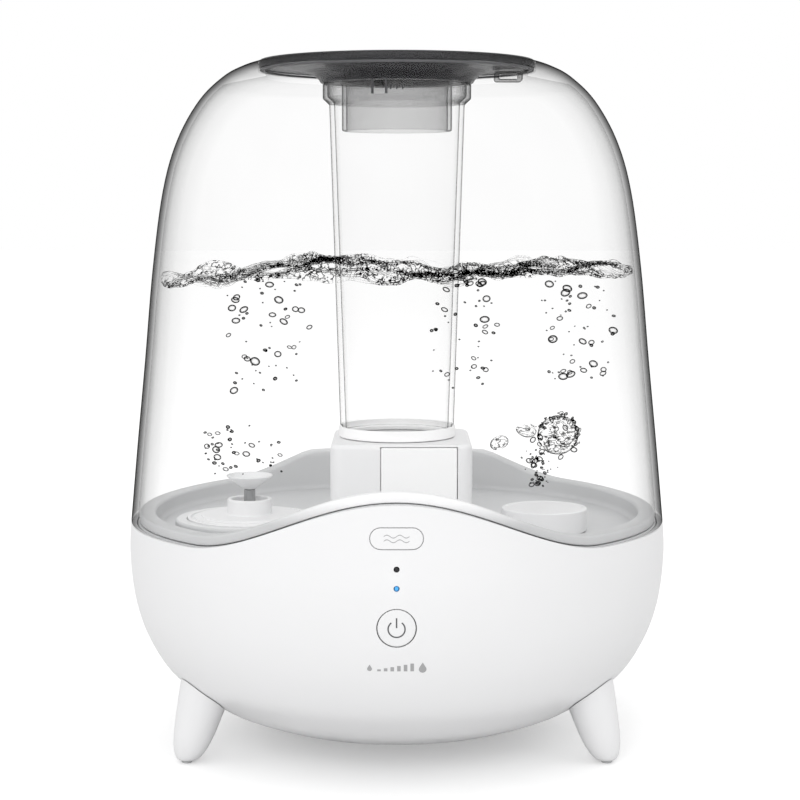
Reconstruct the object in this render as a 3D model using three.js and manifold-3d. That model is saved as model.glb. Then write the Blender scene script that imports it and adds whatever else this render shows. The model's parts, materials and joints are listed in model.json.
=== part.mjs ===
// Cool mist humidifier. A white base on three splayed feet holds the water basin, the
// ultrasonic transducer, the fan and the electronics. A clear tank with a tapered mist
// tube lifts off the base along a wavy parting line, and a smoked lid closes it.
// Millimetres, +Z up, the feet rest on z = 0 and the front faces -Y.
import * as THREE from 'three';
import { mergeVertices } from 'three/addons/utils/BufferGeometryUtils.js';
import Module from 'manifold-3d';

const wasm = await Module();
wasm.setup();

// ---- Driving dimensions ----
const GAP = 0.35; // clearance between neighbouring pieces
const ROUND = 36; // facets round the large turned pieces
const MEDIUM = 20; // facets round the middle-sized ones
const SHELL_WALL = 2.6;
const DOME_WALL = 2.8;

// Outer outline of base and tank, radius and height.
const BASE_OUTLINE = [
  [66, 11.6], [81.7, 18], [92.9, 25.8], [103.4, 34.8], [111.1, 47.4],
  [115.7, 59.9], [118, 72.5], [118.9, 85.6], [118.4, 97],
];
const DOME_OUTLINE = [
  [118.4, 97], [115.3, 130], [111.3, 169.5], [107.4, 210], [102.6, 243.4],
  [96.2, 265], [86.6, 282], [76.2, 292.2], [68, 296.7], [61.4, 298.9],
];
const WIDEST_HEIGHT = 90; // the outline runs plain below this and follows the wave above

// Wavy parting line between base and tank.
const PARTING_HEIGHT = 98.4;
const WAVE_SWAY = 1.5;
const WAVE_CREST = 21.7;
const WAVE_HALF_ANGLE = THREE.MathUtils.degToRad(46.5);
const WAVE_BACK_LIMIT = 12;

// Base.
const COVER_RADIUS = 65.6;
const COVER_TOP = 13.6;
const COVER_BOTTOM = 9.9;
const LEDGE_INNER = 57;
const LEDGE_BOTTOM = 13.9;
const LEDGE_TOP = 16.4;
const COVER_SCREW_RADIUS = 61.5;
const COVER_SCREW_ANGLES = [60, 180, 300];

// Feet: angle from the front, lean and rounded end.
const FEET = [['left', -60], ['right', 60], ['back', 180]];
const FOOT_TIP_RADIUS = 103.6;
const FOOT_LEAN = 0.3; // outward travel per millimetre down
const FOOT_PROFILE = [
  [0, 1.2], [3.4, 1.2], [5, 2.1], [6.5, 4.3], [7.9, 8], [9, 13], [9.9, 19], [11.1, 28], [12.4, 40], [0, 40],
];
const FOOT_SCREW_POINT = new THREE.Vector3(0, -92.5, 25.5);
const FOOT_SCREW_AXIS = new THREE.Vector3(0, -0.6145, -0.789).normalize();

// Water basin in the base.
const BASIN_FLOOR = 68;
const BASIN_WALL = 2;
const BASIN_RADIUS = 97;
const BASIN_SHELF = 88;
const BASIN_UPPER_RADIUS = 110;
const WELL = { x: 11.5, radius: 17, floor: 50, hole: 8.5 };
const AIR_TUBE = { x: -18.3, outer: 8, inner: 6.2, bottom: 59.5, top: 112 };
const FLOAT_POST = { x: 52, y: 32, radius: 2.2, top: 87 };

// Tank pan: the floor moulding of the tank.
const PAN_FLOOR = 95.3;
const PAN_UNDERSIDE = 93;
const PAN_RADIUS = 107.3;
const PAN_SKIRT_RADIUS = 109.5;
const FLANGE_HEIGHT = 4.3;
const UPSTAND = { left: -29, right: 32.8, half: 31, wall: 2.2, top: 134, corner: 7, flange: 2.2 };
const PANEL = { left: -6.9, right: 26, bottom: 97.5, top: 132.6 };

// Tank cap and valve, on their own vertical axis.
const CAP = { x: -64.4, y: -22.3 };
const NECK_OUTER = 32.4;
const NECK_INNER = 29.4;
const NECK_TOP = 101.1;

const CARTRIDGE = { x: 64.4, y: -22.3, radius: 18.6, bottom: 95.65, top: 105.5 };

// Lid, mist tube and nozzle.
const LID_RADIUS = 60.3;
const LID_TOP = 299.8;
const LID_EDGE_BOTTOM = 296.3;
const LID_BORE = 25;

// Front panel heights.
const BUTTON = { z: 73.2, radius: 7.5 };
const STATUS_LENS_HEIGHT = 89;
const SENSOR_LENS_HEIGHT = 96.5;
const BADGE = { z: 108.4, width: 20.6, height: 8.1 };

const FAN = { x: -36, y: 8, half: 25, bottom: 17, top: 31 };
const BOARD = { left: -6, right: 50, half: 28, bottom: 20, top: 21.6 };

// ---- Materials ----
const plastic = (color, roughness, opacity = 1) => new THREE.MeshStandardMaterial({
  color, roughness, metalness: 0, opacity, transparent: opacity < 1,
});
const metal = (color, roughness) => new THREE.MeshStandardMaterial({
  color, roughness, metalness: 0.9,
});
const finish = {
  white: plastic(0xf3f3f4, 0.35),
  pan: plastic(0xd7d8da, 0.4),
  innerWhite: plastic(0xe9eaec, 0.45),
  clear: plastic(0xf0f4f5, 0.08, 0.3),
  smoke: plastic(0x45474a, 0.15, 0.75),
  grey: plastic(0xa9acaf, 0.4),
  silicone: plastic(0xcfd2d4, 0.7),
  rubber: plastic(0x9a9da0, 0.9),
  black: plastic(0x1b1c1e, 0.5),
  board: plastic(0x1f6b45, 0.5),
  lamp: plastic(0x3c96c8, 0.2),
  copper: metal(0xb87333, 0.4),
  steel: metal(0xb8babd, 0.35),
  ceramic: metal(0xc8b27a, 0.5),
};

// ---- Geometry helpers ----
const vec2 = ([r, z]) => new THREE.Vector2(r, z);

// Drops everything but positions, merges shared corners and turns the faces outwards.
function closed(geometry) {
  const plain = new THREE.BufferGeometry();
  plain.setAttribute('position', geometry.getAttribute('position').clone());
  if (geometry.index) plain.setIndex(geometry.index.clone());
  const merged = mergeVertices(plain, 1e-4);
  const source = merged.index.array;
  const position = merged.getAttribute('position');
  const corner = [new THREE.Vector3(), new THREE.Vector3(), new THREE.Vector3()];
  const faces = [];
  let volume = 0;
  for (let i = 0; i < source.length; i += 3) {
    const [a, b, c] = [source[i], source[i + 1], source[i + 2]];
    if (a === b || b === c || a === c) continue;
    faces.push([a, b, c]);
    corner.forEach((point, k) => point.fromBufferAttribute(position, source[i + k]));
    volume += corner[0].dot(corner[1].clone().cross(corner[2]));
  }
  if (volume < 0) faces.forEach((face) => face.reverse());
  const result = new THREE.BufferGeometry();
  result.setAttribute('position', position);
  result.setIndex(faces.flat());
  return result;
}

function toSolid(geometry) {
  const { attributes, index } = closed(geometry);
  return new wasm.Manifold(new wasm.Mesh({
    numProp: 3,
    vertProperties: new Float32Array(attributes.position.array),
    triVerts: new Uint32Array(index.array),
  }));
}

function toGeometry(solid) {
  const { vertProperties, triVerts } = solid.getMesh();
  const geometry = new THREE.BufferGeometry();
  geometry.setAttribute('position', new THREE.BufferAttribute(new Float32Array(vertProperties), 3));
  geometry.setIndex(Array.from(triVerts));
  return geometry;
}

function shaped(base, joined = [], removed = []) {
  let solid = toSolid(base);
  for (const piece of joined) solid = solid.add(toSolid(piece));
  for (const piece of removed) solid = solid.subtract(toSolid(piece));
  return toGeometry(solid);
}

function common(first, second) {
  return toGeometry(toSolid(first).intersect(toSolid(second)));
}

// Turns a profile about +Z. A profile that starts off the axis closes on itself.
// Angle 0 faces the front, -Y.
function turned(profile, segments = ROUND) {
  const points = profile.map(vec2);
  if (profile[0][0] > 0) points.push(points[0].clone());
  return new THREE.LatheGeometry(points, segments).rotateX(Math.PI / 2);
}

// As turned, but with its own profile at every angle from the front.
function turnedWave(profileAt, segments = ROUND) {
  const loopAt = (angle) => {
    const points = profileAt(angle);
    return points[0][0] > 0 ? [...points, points[0]] : points;
  };
  const count = loopAt(0).length;
  const geometry = new THREE.LatheGeometry(loopAt(0).map(vec2), segments);
  const position = geometry.getAttribute('position');
  for (let i = 0; i <= segments; i++) {
    const angle = (i % segments) / segments * Math.PI * 2;
    loopAt(angle).forEach(([r, z], j) => {
      position.setXYZ(i * count + j, r * Math.sin(angle), z, r * Math.cos(angle));
    });
  }
  return geometry.rotateX(Math.PI / 2);
}

function rod(radius, bottom, top, segments = 16) {
  return new THREE.CylinderGeometry(radius, radius, top - bottom, segments)
    .rotateX(Math.PI / 2).translate(0, 0, (top + bottom) / 2);
}

function rodAlongY(radius, front, back, x, z, segments = 16) {
  return new THREE.CylinderGeometry(radius, radius, back - front, segments)
    .translate(x, (front + back) / 2, z);
}

function box(low, high) {
  const size = high.map((value, i) => value - low[i]);
  return new THREE.BoxGeometry(...size).translate(...low.map((value, i) => value + size[i] / 2));
}

function roundedRectangle(left, right, bottom, top, radius) {
  const outline = new THREE.Shape();
  outline.moveTo(left + radius, bottom);
  outline.absarc(right - radius, bottom + radius, radius, -Math.PI / 2, 0);
  outline.absarc(right - radius, top - radius, radius, 0, Math.PI / 2);
  outline.absarc(left + radius, top - radius, radius, Math.PI / 2, Math.PI);
  outline.absarc(left + radius, bottom + radius, radius, Math.PI, Math.PI * 1.5);
  return outline;
}

function extruded(outline, bottom, top, curveSegments = 5) {
  return new THREE.ExtrudeGeometry(outline, {
    depth: top - bottom, bevelEnabled: false, curveSegments,
  }).translate(0, 0, bottom);
}

// An upright outline in X and Z, extruded along Y.
function extrudedAlongY(outline, front, back, curveSegments = 5) {
  return new THREE.ExtrudeGeometry(outline, {
    depth: back - front, bevelEnabled: false, curveSegments,
  }).rotateX(Math.PI / 2).translate(0, back, 0);
}

function swept(curve, radius, steps, sides) {
  const corners = Array.from({ length: sides }, (_, i) => new THREE.Vector2(
    radius * Math.cos(i / sides * Math.PI * 2), radius * Math.sin(i / sides * Math.PI * 2)));
  return new THREE.ExtrudeGeometry(new THREE.Shape(corners), {
    extrudePath: curve, steps, bevelEnabled: false,
  });
}

// Moves every level of a geometry sideways by an amount that depends on its height.
function sheared(geometry, shiftAt) {
  const position = geometry.getAttribute('position');
  for (let i = 0; i < position.count; i++) {
    const [dx, dy] = shiftAt(position.getZ(i));
    position.setXY(i, position.getX(i) + dx, position.getY(i) + dy);
  }
  return geometry;
}

// Turns +Z to a direction and moves the origin to a point.
function aimed(geometry, point, direction) {
  const turn = new THREE.Quaternion().setFromUnitVectors(new THREE.Vector3(0, 0, 1), direction);
  return geometry.applyQuaternion(turn).translate(point.x, point.y, point.z);
}

// ---- Outline and wave ----
const baseCurve = new THREE.SplineCurve(BASE_OUTLINE.map(vec2));
const domeCurve = new THREE.SplineCurve(DOME_OUTLINE.map(vec2));
const outlinePoints = [...baseCurve.getPoints(160), ...domeCurve.getPoints(160).slice(1)];

function outerRadius(height) {
  const next = outlinePoints.findIndex((point) => point.y >= height);
  if (next <= 0) return next === 0 ? outlinePoints[0].x : outlinePoints.at(-1).x;
  const [a, b] = [outlinePoints[next - 1], outlinePoints[next]];
  return a.x + (b.x - a.x) * (height - a.y) / (b.y - a.y);
}

// The point a given distance inside the outline, square to it.
function insideOutline(height, distance) {
  const slope = outerRadius(height + 0.5) - outerRadius(height - 0.5);
  const length = Math.hypot(1, slope);
  return [outerRadius(height) - distance / length, height + distance * slope / length];
}

function rimHeight(angle) {
  const turnFromFront = Math.abs(Math.atan2(Math.sin(angle), Math.cos(angle)));
  const isFront = turnFromFront < Math.PI / 2;
  const turn = isFront ? turnFromFront : Math.PI - turnFromFront;
  const crest = turn < WAVE_HALF_ANGLE ? (1 + Math.cos(Math.PI * turn / WAVE_HALF_ANGLE)) / 2 : 0;
  const rise = WAVE_SWAY * Math.cos(angle) ** 2 + WAVE_CREST * crest;
  return PARTING_HEIGHT + (isFront ? rise : Math.min(rise, WAVE_BACK_LIMIT));
}

const plainOutline = baseCurve.getSpacedPoints(9).filter((point) => point.y < WIDEST_HEIGHT);

// Solid of revolution just outside the base, used to trim the feet.
function baseEnvelope(margin) {
  const start = BASE_OUTLINE[0][1];
  const outside = plainOutline.map(({ y }) => insideOutline(Math.max(y, start + 0.5), -margin));
  return turned([[0, start - margin], ...outside, [0, outside.at(-1)[1]]]);
}

// ---- Base ----
function makeBaseShell() {
  const outer = plainOutline.map((point) => [point.x, point.y]);
  const inner = plainOutline.filter((point) => point.y > 17)
    .map(({ y }) => insideOutline(y, SHELL_WALL)).reverse();
  const body = turnedWave((angle) => {
    const top = rimHeight(angle) - GAP;
    const middle = (WIDEST_HEIGHT + top) / 2;
    const edge = outerRadius(top);
    return [
      [LEDGE_INNER, LEDGE_BOTTOM], [COVER_RADIUS + 0.4, LEDGE_BOTTOM],
      ...outer, [outerRadius(middle), middle], [edge, top - 0.8], [edge - 0.8, top],
      [edge - SHELL_WALL, top], [outerRadius(middle) - SHELL_WALL, middle],
      ...inner, [72, LEDGE_TOP], [LEDGE_INNER, LEDGE_TOP],
    ];
  });
  const joined = [];
  const removed = [];
  for (const degrees of COVER_SCREW_ANGLES) {
    const angle = THREE.MathUtils.degToRad(degrees);
    joined.push(rod(3.8, LEDGE_TOP - 1, 22, 8).translate(0, -COVER_SCREW_RADIUS, 0).rotateZ(angle));
    removed.push(rod(1.7, LEDGE_BOTTOM - 1, 21, 6).translate(0, -COVER_SCREW_RADIUS, 0).rotateZ(angle));
  }
  for (const [, degrees] of FEET) {
    const hole = aimed(rod(2.1, -8, 8, 6), FOOT_SCREW_POINT, FOOT_SCREW_AXIS);
    removed.push(hole.rotateZ(THREE.MathUtils.degToRad(degrees)));
  }
  for (const x of [-16, 16]) {
    for (const z of [63, 80]) {
      const wallMiddle = -Math.sqrt((outerRadius(z) - SHELL_WALL / 2) ** 2 - x * x);
      joined.push(rodAlongY(2.4, wallMiddle, -105.4, x, z, 6));
    }
  }
  removed.push(rodAlongY(BUTTON.radius + 0.4, -125, -108, 0, BUTTON.z, MEDIUM));
  removed.push(rodAlongY(1.2, -125, -112, 0, STATUS_LENS_HEIGHT, 6));
  removed.push(rodAlongY(1.2, -125, -112.8, 0, SENSOR_LENS_HEIGHT, 6));
  removed.push(common(extrudedAlongY(pill(GAP), -125, -110), bodyOutside(-1.1)));
  removed.push(box([-6.9, 100, 48.6], [6.9, 130, 60.4]));
  return shaped(body, joined, removed);
}

function pill(margin) {
  const half = BADGE.height / 2 + margin;
  const reach = BADGE.width / 2 + margin;
  return roundedRectangle(-reach, reach, BADGE.z - half, BADGE.z + half, half - 0.01);
}

// Everything further out than the outline plus a distance, round the front crest.
function bodyOutside(distance) {
  const heights = [100, 104, 108, 112, 116];
  const near = heights.map((z) => [outerRadius(z) + distance, z]);
  return turned([[130, 100], [130, 116], ...near.reverse()]);
}

function makeBadge() {
  const band = turned([
    [outerRadius(100) + 0.2, 100], [outerRadius(108) + 0.2, 108], [outerRadius(116) + 0.2, 116],
    [outerRadius(116) - 0.75, 116], [outerRadius(108) - 0.75, 108], [outerRadius(100) - 0.75, 100],
  ]);
  return common(extrudedAlongY(pill(0), -125, -105), band);
}

function makeBottomCover() {
  const disc = turned([
    [0, COVER_BOTTOM], [51, COVER_BOTTOM], [COVER_RADIUS, 11.4], [COVER_RADIUS, COVER_TOP], [0, COVER_TOP],
  ]);
  const joined = [];
  const removed = [];
  for (const degrees of COVER_SCREW_ANGLES) {
    const angle = THREE.MathUtils.degToRad(degrees);
    removed.push(rod(1.7, 5, 20, 6).translate(0, -COVER_SCREW_RADIUS, 0).rotateZ(angle));
    removed.push(rod(3.4, 5, 12.6, 8).translate(0, -COVER_SCREW_RADIUS, 0).rotateZ(angle));
  }
  for (let i = 0; i < 5; i++) {
    const y = FAN.y - 14 + i * 7;
    removed.push(box([FAN.x - 12, y - 1.5, 5], [FAN.x + 20, y + 1.5, 20]));
  }
  for (const [x, y] of [[FAN.x + 21, FAN.y - 21], [FAN.x + 21, FAN.y + 21]]) {
    joined.push(rod(3, COVER_TOP - 1, FAN.bottom - GAP, 6).translate(x, y, 0));
  }
  for (const [x, y] of [[4, -24], [4, 24], [44, -22], [44, 22]]) {
    joined.push(rod(3, COVER_TOP - 1, BOARD.bottom - GAP, 6).translate(x, y, 0));
  }
  return shaped(disc, joined, removed);
}

// One foot: a leaning tapered peg with a round end, trimmed to the base.
function makeFoot() {
  const peg = sheared(turned(FOOT_PROFILE, 16), (z) => [0, -FOOT_TIP_RADIUS + FOOT_LEAN * z]);
  const pilot = aimed(rod(1.7, -4, 12, 6), FOOT_SCREW_POINT, FOOT_SCREW_AXIS);
  return shaped(peg, [], [baseEnvelope(GAP), pilot]);
}

function makeFootPad() {
  return turned([[0, 0], [2.1, 0], [2.4, 0.3], [2.4, 0.85], [0, 0.85]], 12)
    .translate(0, -FOOT_TIP_RADIUS, 0);
}

// A pan-head screw with the head's seat at the origin and the shank along +Z.
function screw(headRadius, headHeight, shankRadius, length) {
  return turned([
    [0, -headHeight], [headRadius * 0.7, -headHeight], [headRadius, -headHeight * 0.5], [headRadius, 0],
    [shankRadius, 0], [shankRadius, length - 1], [0, length],
  ], 6);
}

function makeWaterBasin() {
  const wall = BASIN_WALL;
  const body = turnedWave((angle) => {
    const top = rimHeight(angle) - 0.3;
    const lip = outerRadius(rimHeight(angle)) - SHELL_WALL - GAP;
    return [
      [0, BASIN_FLOOR - wall], [BASIN_RADIUS + wall, BASIN_FLOOR - wall],
      [BASIN_RADIUS + wall, BASIN_SHELF - wall], [BASIN_UPPER_RADIUS + wall, BASIN_SHELF - wall],
      [BASIN_UPPER_RADIUS + wall, top - 2.3], [lip, top - 2.3], [lip, top], [BASIN_UPPER_RADIUS, top],
      [BASIN_UPPER_RADIUS, BASIN_SHELF], [BASIN_RADIUS, BASIN_SHELF], [BASIN_RADIUS, BASIN_FLOOR],
      [0, BASIN_FLOOR],
    ];
  });
  const joined = [
    rod(FLOAT_POST.radius, BASIN_FLOOR - 1, FLOAT_POST.top, 8).translate(FLOAT_POST.x, FLOAT_POST.y, 0),
    rod(3, BASIN_FLOOR - 1, 81.9, 8).translate(CAP.x, CAP.y, 0),
  ];
  for (const side of [-1, 1]) {
    joined.push(rod(1.8, 62.9, BASIN_FLOOR - wall + 0.5, 6)
      .translate(FLOAT_POST.x + side * 7, FLOAT_POST.y, 0));
  }
  return shaped(body, joined, [
    rod(WELL.radius, BASIN_FLOOR - 5, BASIN_FLOOR + 1, 24).translate(WELL.x, 0, 0),
    rod(AIR_TUBE.outer + GAP, BASIN_FLOOR - 5, BASIN_FLOOR + 1, 16).translate(AIR_TUBE.x, 0, 0),
  ]);
}

// The cup under the basin floor that holds the water over the transducer.
function makeTransducerWell() {
  const wall = BASIN_WALL;
  const top = BASIN_FLOOR - wall - GAP;
  const cup = turned([
    [WELL.hole, WELL.floor - wall], [WELL.radius + wall, WELL.floor - wall],
    [WELL.radius + wall, top], [WELL.radius, top], [WELL.radius, WELL.floor], [WELL.hole, WELL.floor],
  ], 24);
  const joined = [];
  const removed = [];
  for (const side of [-1, 1]) {
    joined.push(box([-4, side * 22.5 - 4.5, top - 2.4], [4, side * 22.5 + 4.5, top]));
    joined.push(rod(2.9, 44.4, WELL.floor - wall + 0.5, 8).translate(0, side * 15.8, 0));
    removed.push(rod(1.6, 44, 48.6, 6).translate(0, side * 15.8, 0));
  }
  return shaped(cup, joined, removed).translate(WELL.x, 0, 0);
}

// Carries the fan's air up past the water, through the basin floor.
function makeAirTube() {
  const { x, outer, inner, bottom, top } = AIR_TUBE;
  return turned([
    [inner, bottom], [outer, bottom], [outer, 68.35], [outer + 0.9, 68.35], [outer + 0.9, 69.8],
    [outer, 69.8], [outer, top], [inner, top],
  ], 16).translate(x, 0, 0);
}

function makeTransducerClamp() {
  const ring = turned([[7.8, 41], [18.8, 41], [18.8, 43.9], [7.8, 43.9]], 16);
  const holes = [-1, 1].map((side) => rod(1.6, 40, 45, 6).translate(0, side * 15.8, 0));
  return shaped(ring, [], holes).translate(WELL.x, 0, 0);
}

function makeTransducerGasket() {
  return turned([
    [7.8, 44.2], [12.2, 44.2], [12.2, 47.7], [7.8, 47.7],
    [7.8, 46.9], [10.4, 46.9], [10.4, 45.1], [7.8, 45.1],
  ], 16).translate(WELL.x, 0, 0);
}

function makeMistChimney() {
  const hood = turned([
    [15.5, 68.3], [20.5, 68.3], [20.5, 70.3], [17.5, 70.3], [17.5, 118], [15.5, 118],
  ], MEDIUM);
  const slots = [0, 60, 120].map((degrees) => box([-25, -3.5, 71.5], [25, 3.5, 78])
    .rotateZ(THREE.MathUtils.degToRad(degrees)));
  const port = box([-5, -25, 96], [5, 25, 106]);
  return shaped(hood, [], [...slots, port]).translate(WELL.x, 0, 0);
}

function makeAirDuct() {
  const shell = turned([
    [22.7, 31.4], [24.6, 31.4], [24.6, 34], [15.2, 46], [10.2, 56], [10.2, 65.6],
    [8.4, 65.6], [8.4, 56.4], [13.4, 46], [22.7, 33.6],
  ], 16);
  const bend = (z) => THREE.MathUtils.smoothstep(z, 34, 56);
  return sheared(shell, (z) => [
    THREE.MathUtils.lerp(FAN.x, AIR_TUBE.x, bend(z)),
    THREE.MathUtils.lerp(FAN.y, 0, bend(z)),
  ]);
}

// ---- Fan, on its own axis ----
function makeFanFrame() {
  const { half, bottom, top } = FAN;
  const frame = extruded(roundedRectangle(-half, half, -half, half, 3), bottom, top, 3);
  const hub = [rod(10.8, bottom, bottom + 2, 12)];
  for (const degrees of [30, 150, 270]) {
    const spoke = box([5, -1.2, bottom], [half - 1.5, 1.2, bottom + 2]);
    hub.push(spoke.rotateZ(THREE.MathUtils.degToRad(degrees)));
  }
  const bored = shaped(frame, [], [rod(22.6, bottom - 1, top + 1, MEDIUM)]);
  const corners = [[-21, -21], [21, -21], [-21, 21], [21, 21]].map(([x, y]) => (
    rod(2, bottom - 1, top + 1, 6).translate(x, y, 0)));
  return shaped(bored, hub, corners).translate(FAN.x, FAN.y, 0);
}

function makeFanStator() {
  return turned([[1.7, 19.4], [7.6, 19.4], [7.6, 26], [1.7, 26]], 12).translate(FAN.x, FAN.y, 0);
}

function makeFanImpeller() {
  const hub = turned([[0, 19.6], [1.2, 19.6], [1.2, 27.4], [8.8, 27.4], [8.8, 19.6], [10.4, 19.6],
    [10.4, 28.6], [9.4, 29.4], [0, 29.4]], 14);
  const blades = Array.from({ length: 7 }, (_, i) => new THREE.BoxGeometry(11.4, 1.1, 11)
    .rotateX(THREE.MathUtils.degToRad(48)).translate(15.4, 0, 24.6)
    .rotateZ(i / 7 * Math.PI * 2));
  return shaped(hub, blades).translate(FAN.x, FAN.y, 0);
}

// ---- Electronics ----
function makeDriverBoard() {
  return box([BOARD.left, -BOARD.half, BOARD.bottom], [BOARD.right, BOARD.half, BOARD.top]);
}

// A finned aluminium block standing on the driver board.
function makeHeatSink() {
  const comb = new THREE.Shape();
  const base = BOARD.top + GAP;
  const fins = 5;
  const pitch = 4;
  const start = 28;
  comb.moveTo(start, base);
  comb.lineTo(start + pitch * fins - 2, base);
  for (let i = fins - 1; i >= 0; i--) {
    const x = start + pitch * i;
    comb.lineTo(x + 2, base + 14);
    comb.lineTo(x, base + 14);
    if (i > 0) comb.lineTo(x, base + 3);
    if (i > 0) comb.lineTo(x - 2, base + 3);
  }
  return extrudedAlongY(comb, -23, -5, 1);
}

function makePowerSocket() {
  const block = box([-6.4, 99.5, 49.1], [6.4, 112, 59.9]);
  const pin = rodAlongY(0.9, 100.5, 111, 0, 54.5, 6);
  const bored = shaped(block, [], [rodAlongY(3.4, 102, 114, 0, 54.5, 12)]);
  return shaped(bored, [pin]);
}

// ---- Front panel ----
function makePowerButton() {
  const body = rodAlongY(BUTTON.radius, -125, -113, 0, BUTTON.z, MEDIUM);
  const front = common(body, turned([
    [0, 60], [outerRadius(60), 60], [outerRadius(68), 68], [outerRadius(74), 74], [outerRadius(80), 80],
    [outerRadius(86), 86], [0, 86],
  ]));
  return shaped(front, [
    rodAlongY(9.2, -113.2, -112, 0, BUTTON.z, MEDIUM),
    rodAlongY(2.6, -112.4, -110.9, 0, BUTTON.z, 8),
  ]);
}

function makePowerSwitch() {
  const casing = box([-3.5, -108.4, BUTTON.z - 3.5], [3.5, -105.4, BUTTON.z + 3.5]);
  return shaped(casing, [rodAlongY(1.8, -109.6, -108, 0, BUTTON.z, 8)]);
}

function makeLens(height, front, back) {
  return new THREE.CylinderGeometry(0.8, 0.8, back - front, 8).translate(0, (front + back) / 2, height);
}

// ---- Float ----
function makeFloatRing() {
  return turned([[2.9, 69], [9.5, 69], [9.5, 76.2], [8.7, 77], [2.9, 77]], 14)
    .translate(FLOAT_POST.x, FLOAT_POST.y, 0);
}

// ---- Tank ----
function makeTankDome() {
  const outerLevels = [135, 175, 210, 238, 256, 270, 281, 289, 294.5];
  const innerLevels = [288, 276, 260, 236, 200, 160, 130];
  const outer = outerLevels.map((z) => [outerRadius(z), z]);
  const inner = innerLevels.map((z) => insideOutline(z, DOME_WALL));
  return turnedWave((angle) => {
    const rim = rimHeight(angle);
    return [
      [outerRadius(rim), rim], ...outer, DOME_OUTLINE.at(-1),
      [LID_RADIUS + 0.45, 298.9], [LID_RADIUS + 0.45, 294.8], [57.4, 294.8], [57.4, 292.4], [66, 292.2],
      ...inner, [outerRadius(rim) - DOME_WALL, rim],
    ];
  });
}

function makeTankPan() {
  const body = turnedWave((angle) => {
    const rim = rimHeight(angle);
    const top = rim + FLANGE_HEIGHT;
    const edge = outerRadius(top) - DOME_WALL - GAP;
    return [
      [0, PAN_UNDERSIDE], [PAN_SKIRT_RADIUS, PAN_UNDERSIDE], [PAN_SKIRT_RADIUS, rim + 0.1],
      [edge, rim + 0.1], [edge, top], [PAN_RADIUS, top], [PAN_RADIUS, PAN_FLOOR], [0, PAN_FLOOR],
    ];
  });
  const neck = rod(NECK_OUTER, 88.6, NECK_TOP, MEDIUM).translate(CAP.x, CAP.y, 0);
  return shaped(body, [neck], [
    extruded(upstandOutline(GAP), PAN_UNDERSIDE - 1, PAN_FLOOR + 1, 3),
    rod(NECK_INNER, 85, 99.5, MEDIUM).translate(CAP.x, CAP.y, 0),
    rod(27.5, 95, 105, MEDIUM).translate(CAP.x, CAP.y, 0),
  ]);
}

function upstandOutline(margin) {
  const { left, right, half, corner } = UPSTAND;
  return roundedRectangle(left - margin, right + margin, -half - margin, half + margin, corner + margin);
}

// The hollow tower in the tank floor that the mist tube stands on. Its flange is under the floor.
function makeUpstand() {
  const { half, wall, top, flange } = UPSTAND;
  const bottom = PAN_UNDERSIDE - GAP - flange;
  const tower = extruded(upstandOutline(0), bottom, top, 3);
  return shaped(tower, [extruded(upstandOutline(flange), bottom, bottom + flange, 3)], [
    extruded(upstandOutline(-wall), bottom - 1, top - wall, 3),
    rod(22.6, top - 5, top + 1, MEDIUM),
    box([PANEL.left - GAP, -half - 1, PANEL.bottom - GAP],
      [PANEL.right + GAP, -half + wall + 1, PANEL.top + GAP]),
  ]);
}

function makeUpstandPanel() {
  return box([PANEL.left, -UPSTAND.half, PANEL.bottom],
    [PANEL.right, -UPSTAND.half + UPSTAND.wall - 0.3, PANEL.top]);
}

function makeTubeSeatRing() {
  return turned([[22.2, 134.35], [26, 134.35], [26, 138.6], [25.6, 139.1], [24.9, 139.1], [24.9, 136.2],
    [22.2, 136.2]], 24);
}

function makeMistTube() {
  const tube = turned([
    [22.9, 136.6], [24.5, 136.6], [24.5, 139.5], [25.4, 139.5], [29.75, 280.6], [32.6, 283.3], [32.6, 289.6],
    [30.6, 289.6], [30.6, 284.2], [27.7, 281.4],
  ], 24);
  return shaped(tube, [], [box([-10, -36, 283.6], [-4.4, -28, 292])]);
}

function makeFilterCartridge() {
  const { x, y, radius, bottom, top } = CARTRIDGE;
  return turned([[0, bottom], [radius, bottom], [radius, top - 0.6], [radius - 0.6, top], [0, top]], MEDIUM)
    .translate(x, y, 0);
}

// ---- Tank cap and valve, built on the cap's axis ----
function makeTankCap() {
  const cap = turned([
    [2.9, 93], [4.4, 93], [4.4, 98.6], [25.5, 98.6], [25.5, 82.5], [27.6, 82.5], [27.6, 89], [29, 89],
    [29, 97.9], [27.1, 97.9], [27.1, 101.9], [25.6, 101.9], [25.6, 101.1], [24.2, 101.1], [24.2, 101.9],
    [21.2, 101.9], [21.2, 102.75], [9.7, 102.75], [9.7, 109.5], [7.7, 109.5], [7.7, 104.5], [2.9, 104.5],
  ], MEDIUM);
  const passages = [45, 135, 225, 315].map((degrees) => rod(1.4, 97, 106, 6).translate(6.05, 0, 0)
    .rotateZ(THREE.MathUtils.degToRad(degrees)));
  const grips = [box([-25.8, -1.5, 83], [-9.5, 1.5, 92]), box([9.5, -1.5, 83], [25.8, 1.5, 92])];
  return shaped(cap, grips, passages).translate(CAP.x, CAP.y, 0);
}

function makeCapGasket() {
  return turned([[27.75, 98.2], [29, 98.2], [29, 99.2], [27.75, 99.2]], MEDIUM).translate(CAP.x, CAP.y, 0);
}

class Helix extends THREE.Curve {
  constructor(radius, bottom, top, turns) {
    super();
    Object.assign(this, { radius, bottom, top, turns });
  }

  getPoint(t, target = new THREE.Vector3()) {
    const angle = t * this.turns * Math.PI * 2;
    return target.set(this.radius * Math.cos(angle), this.radius * Math.sin(angle),
      this.bottom + (this.top - this.bottom) * t);
  }
}

function makeValveSpring() {
  return swept(new Helix(6, 85, 97.6, 4), 0.5, 36, 4).translate(CAP.x, CAP.y, 0);
}

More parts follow.
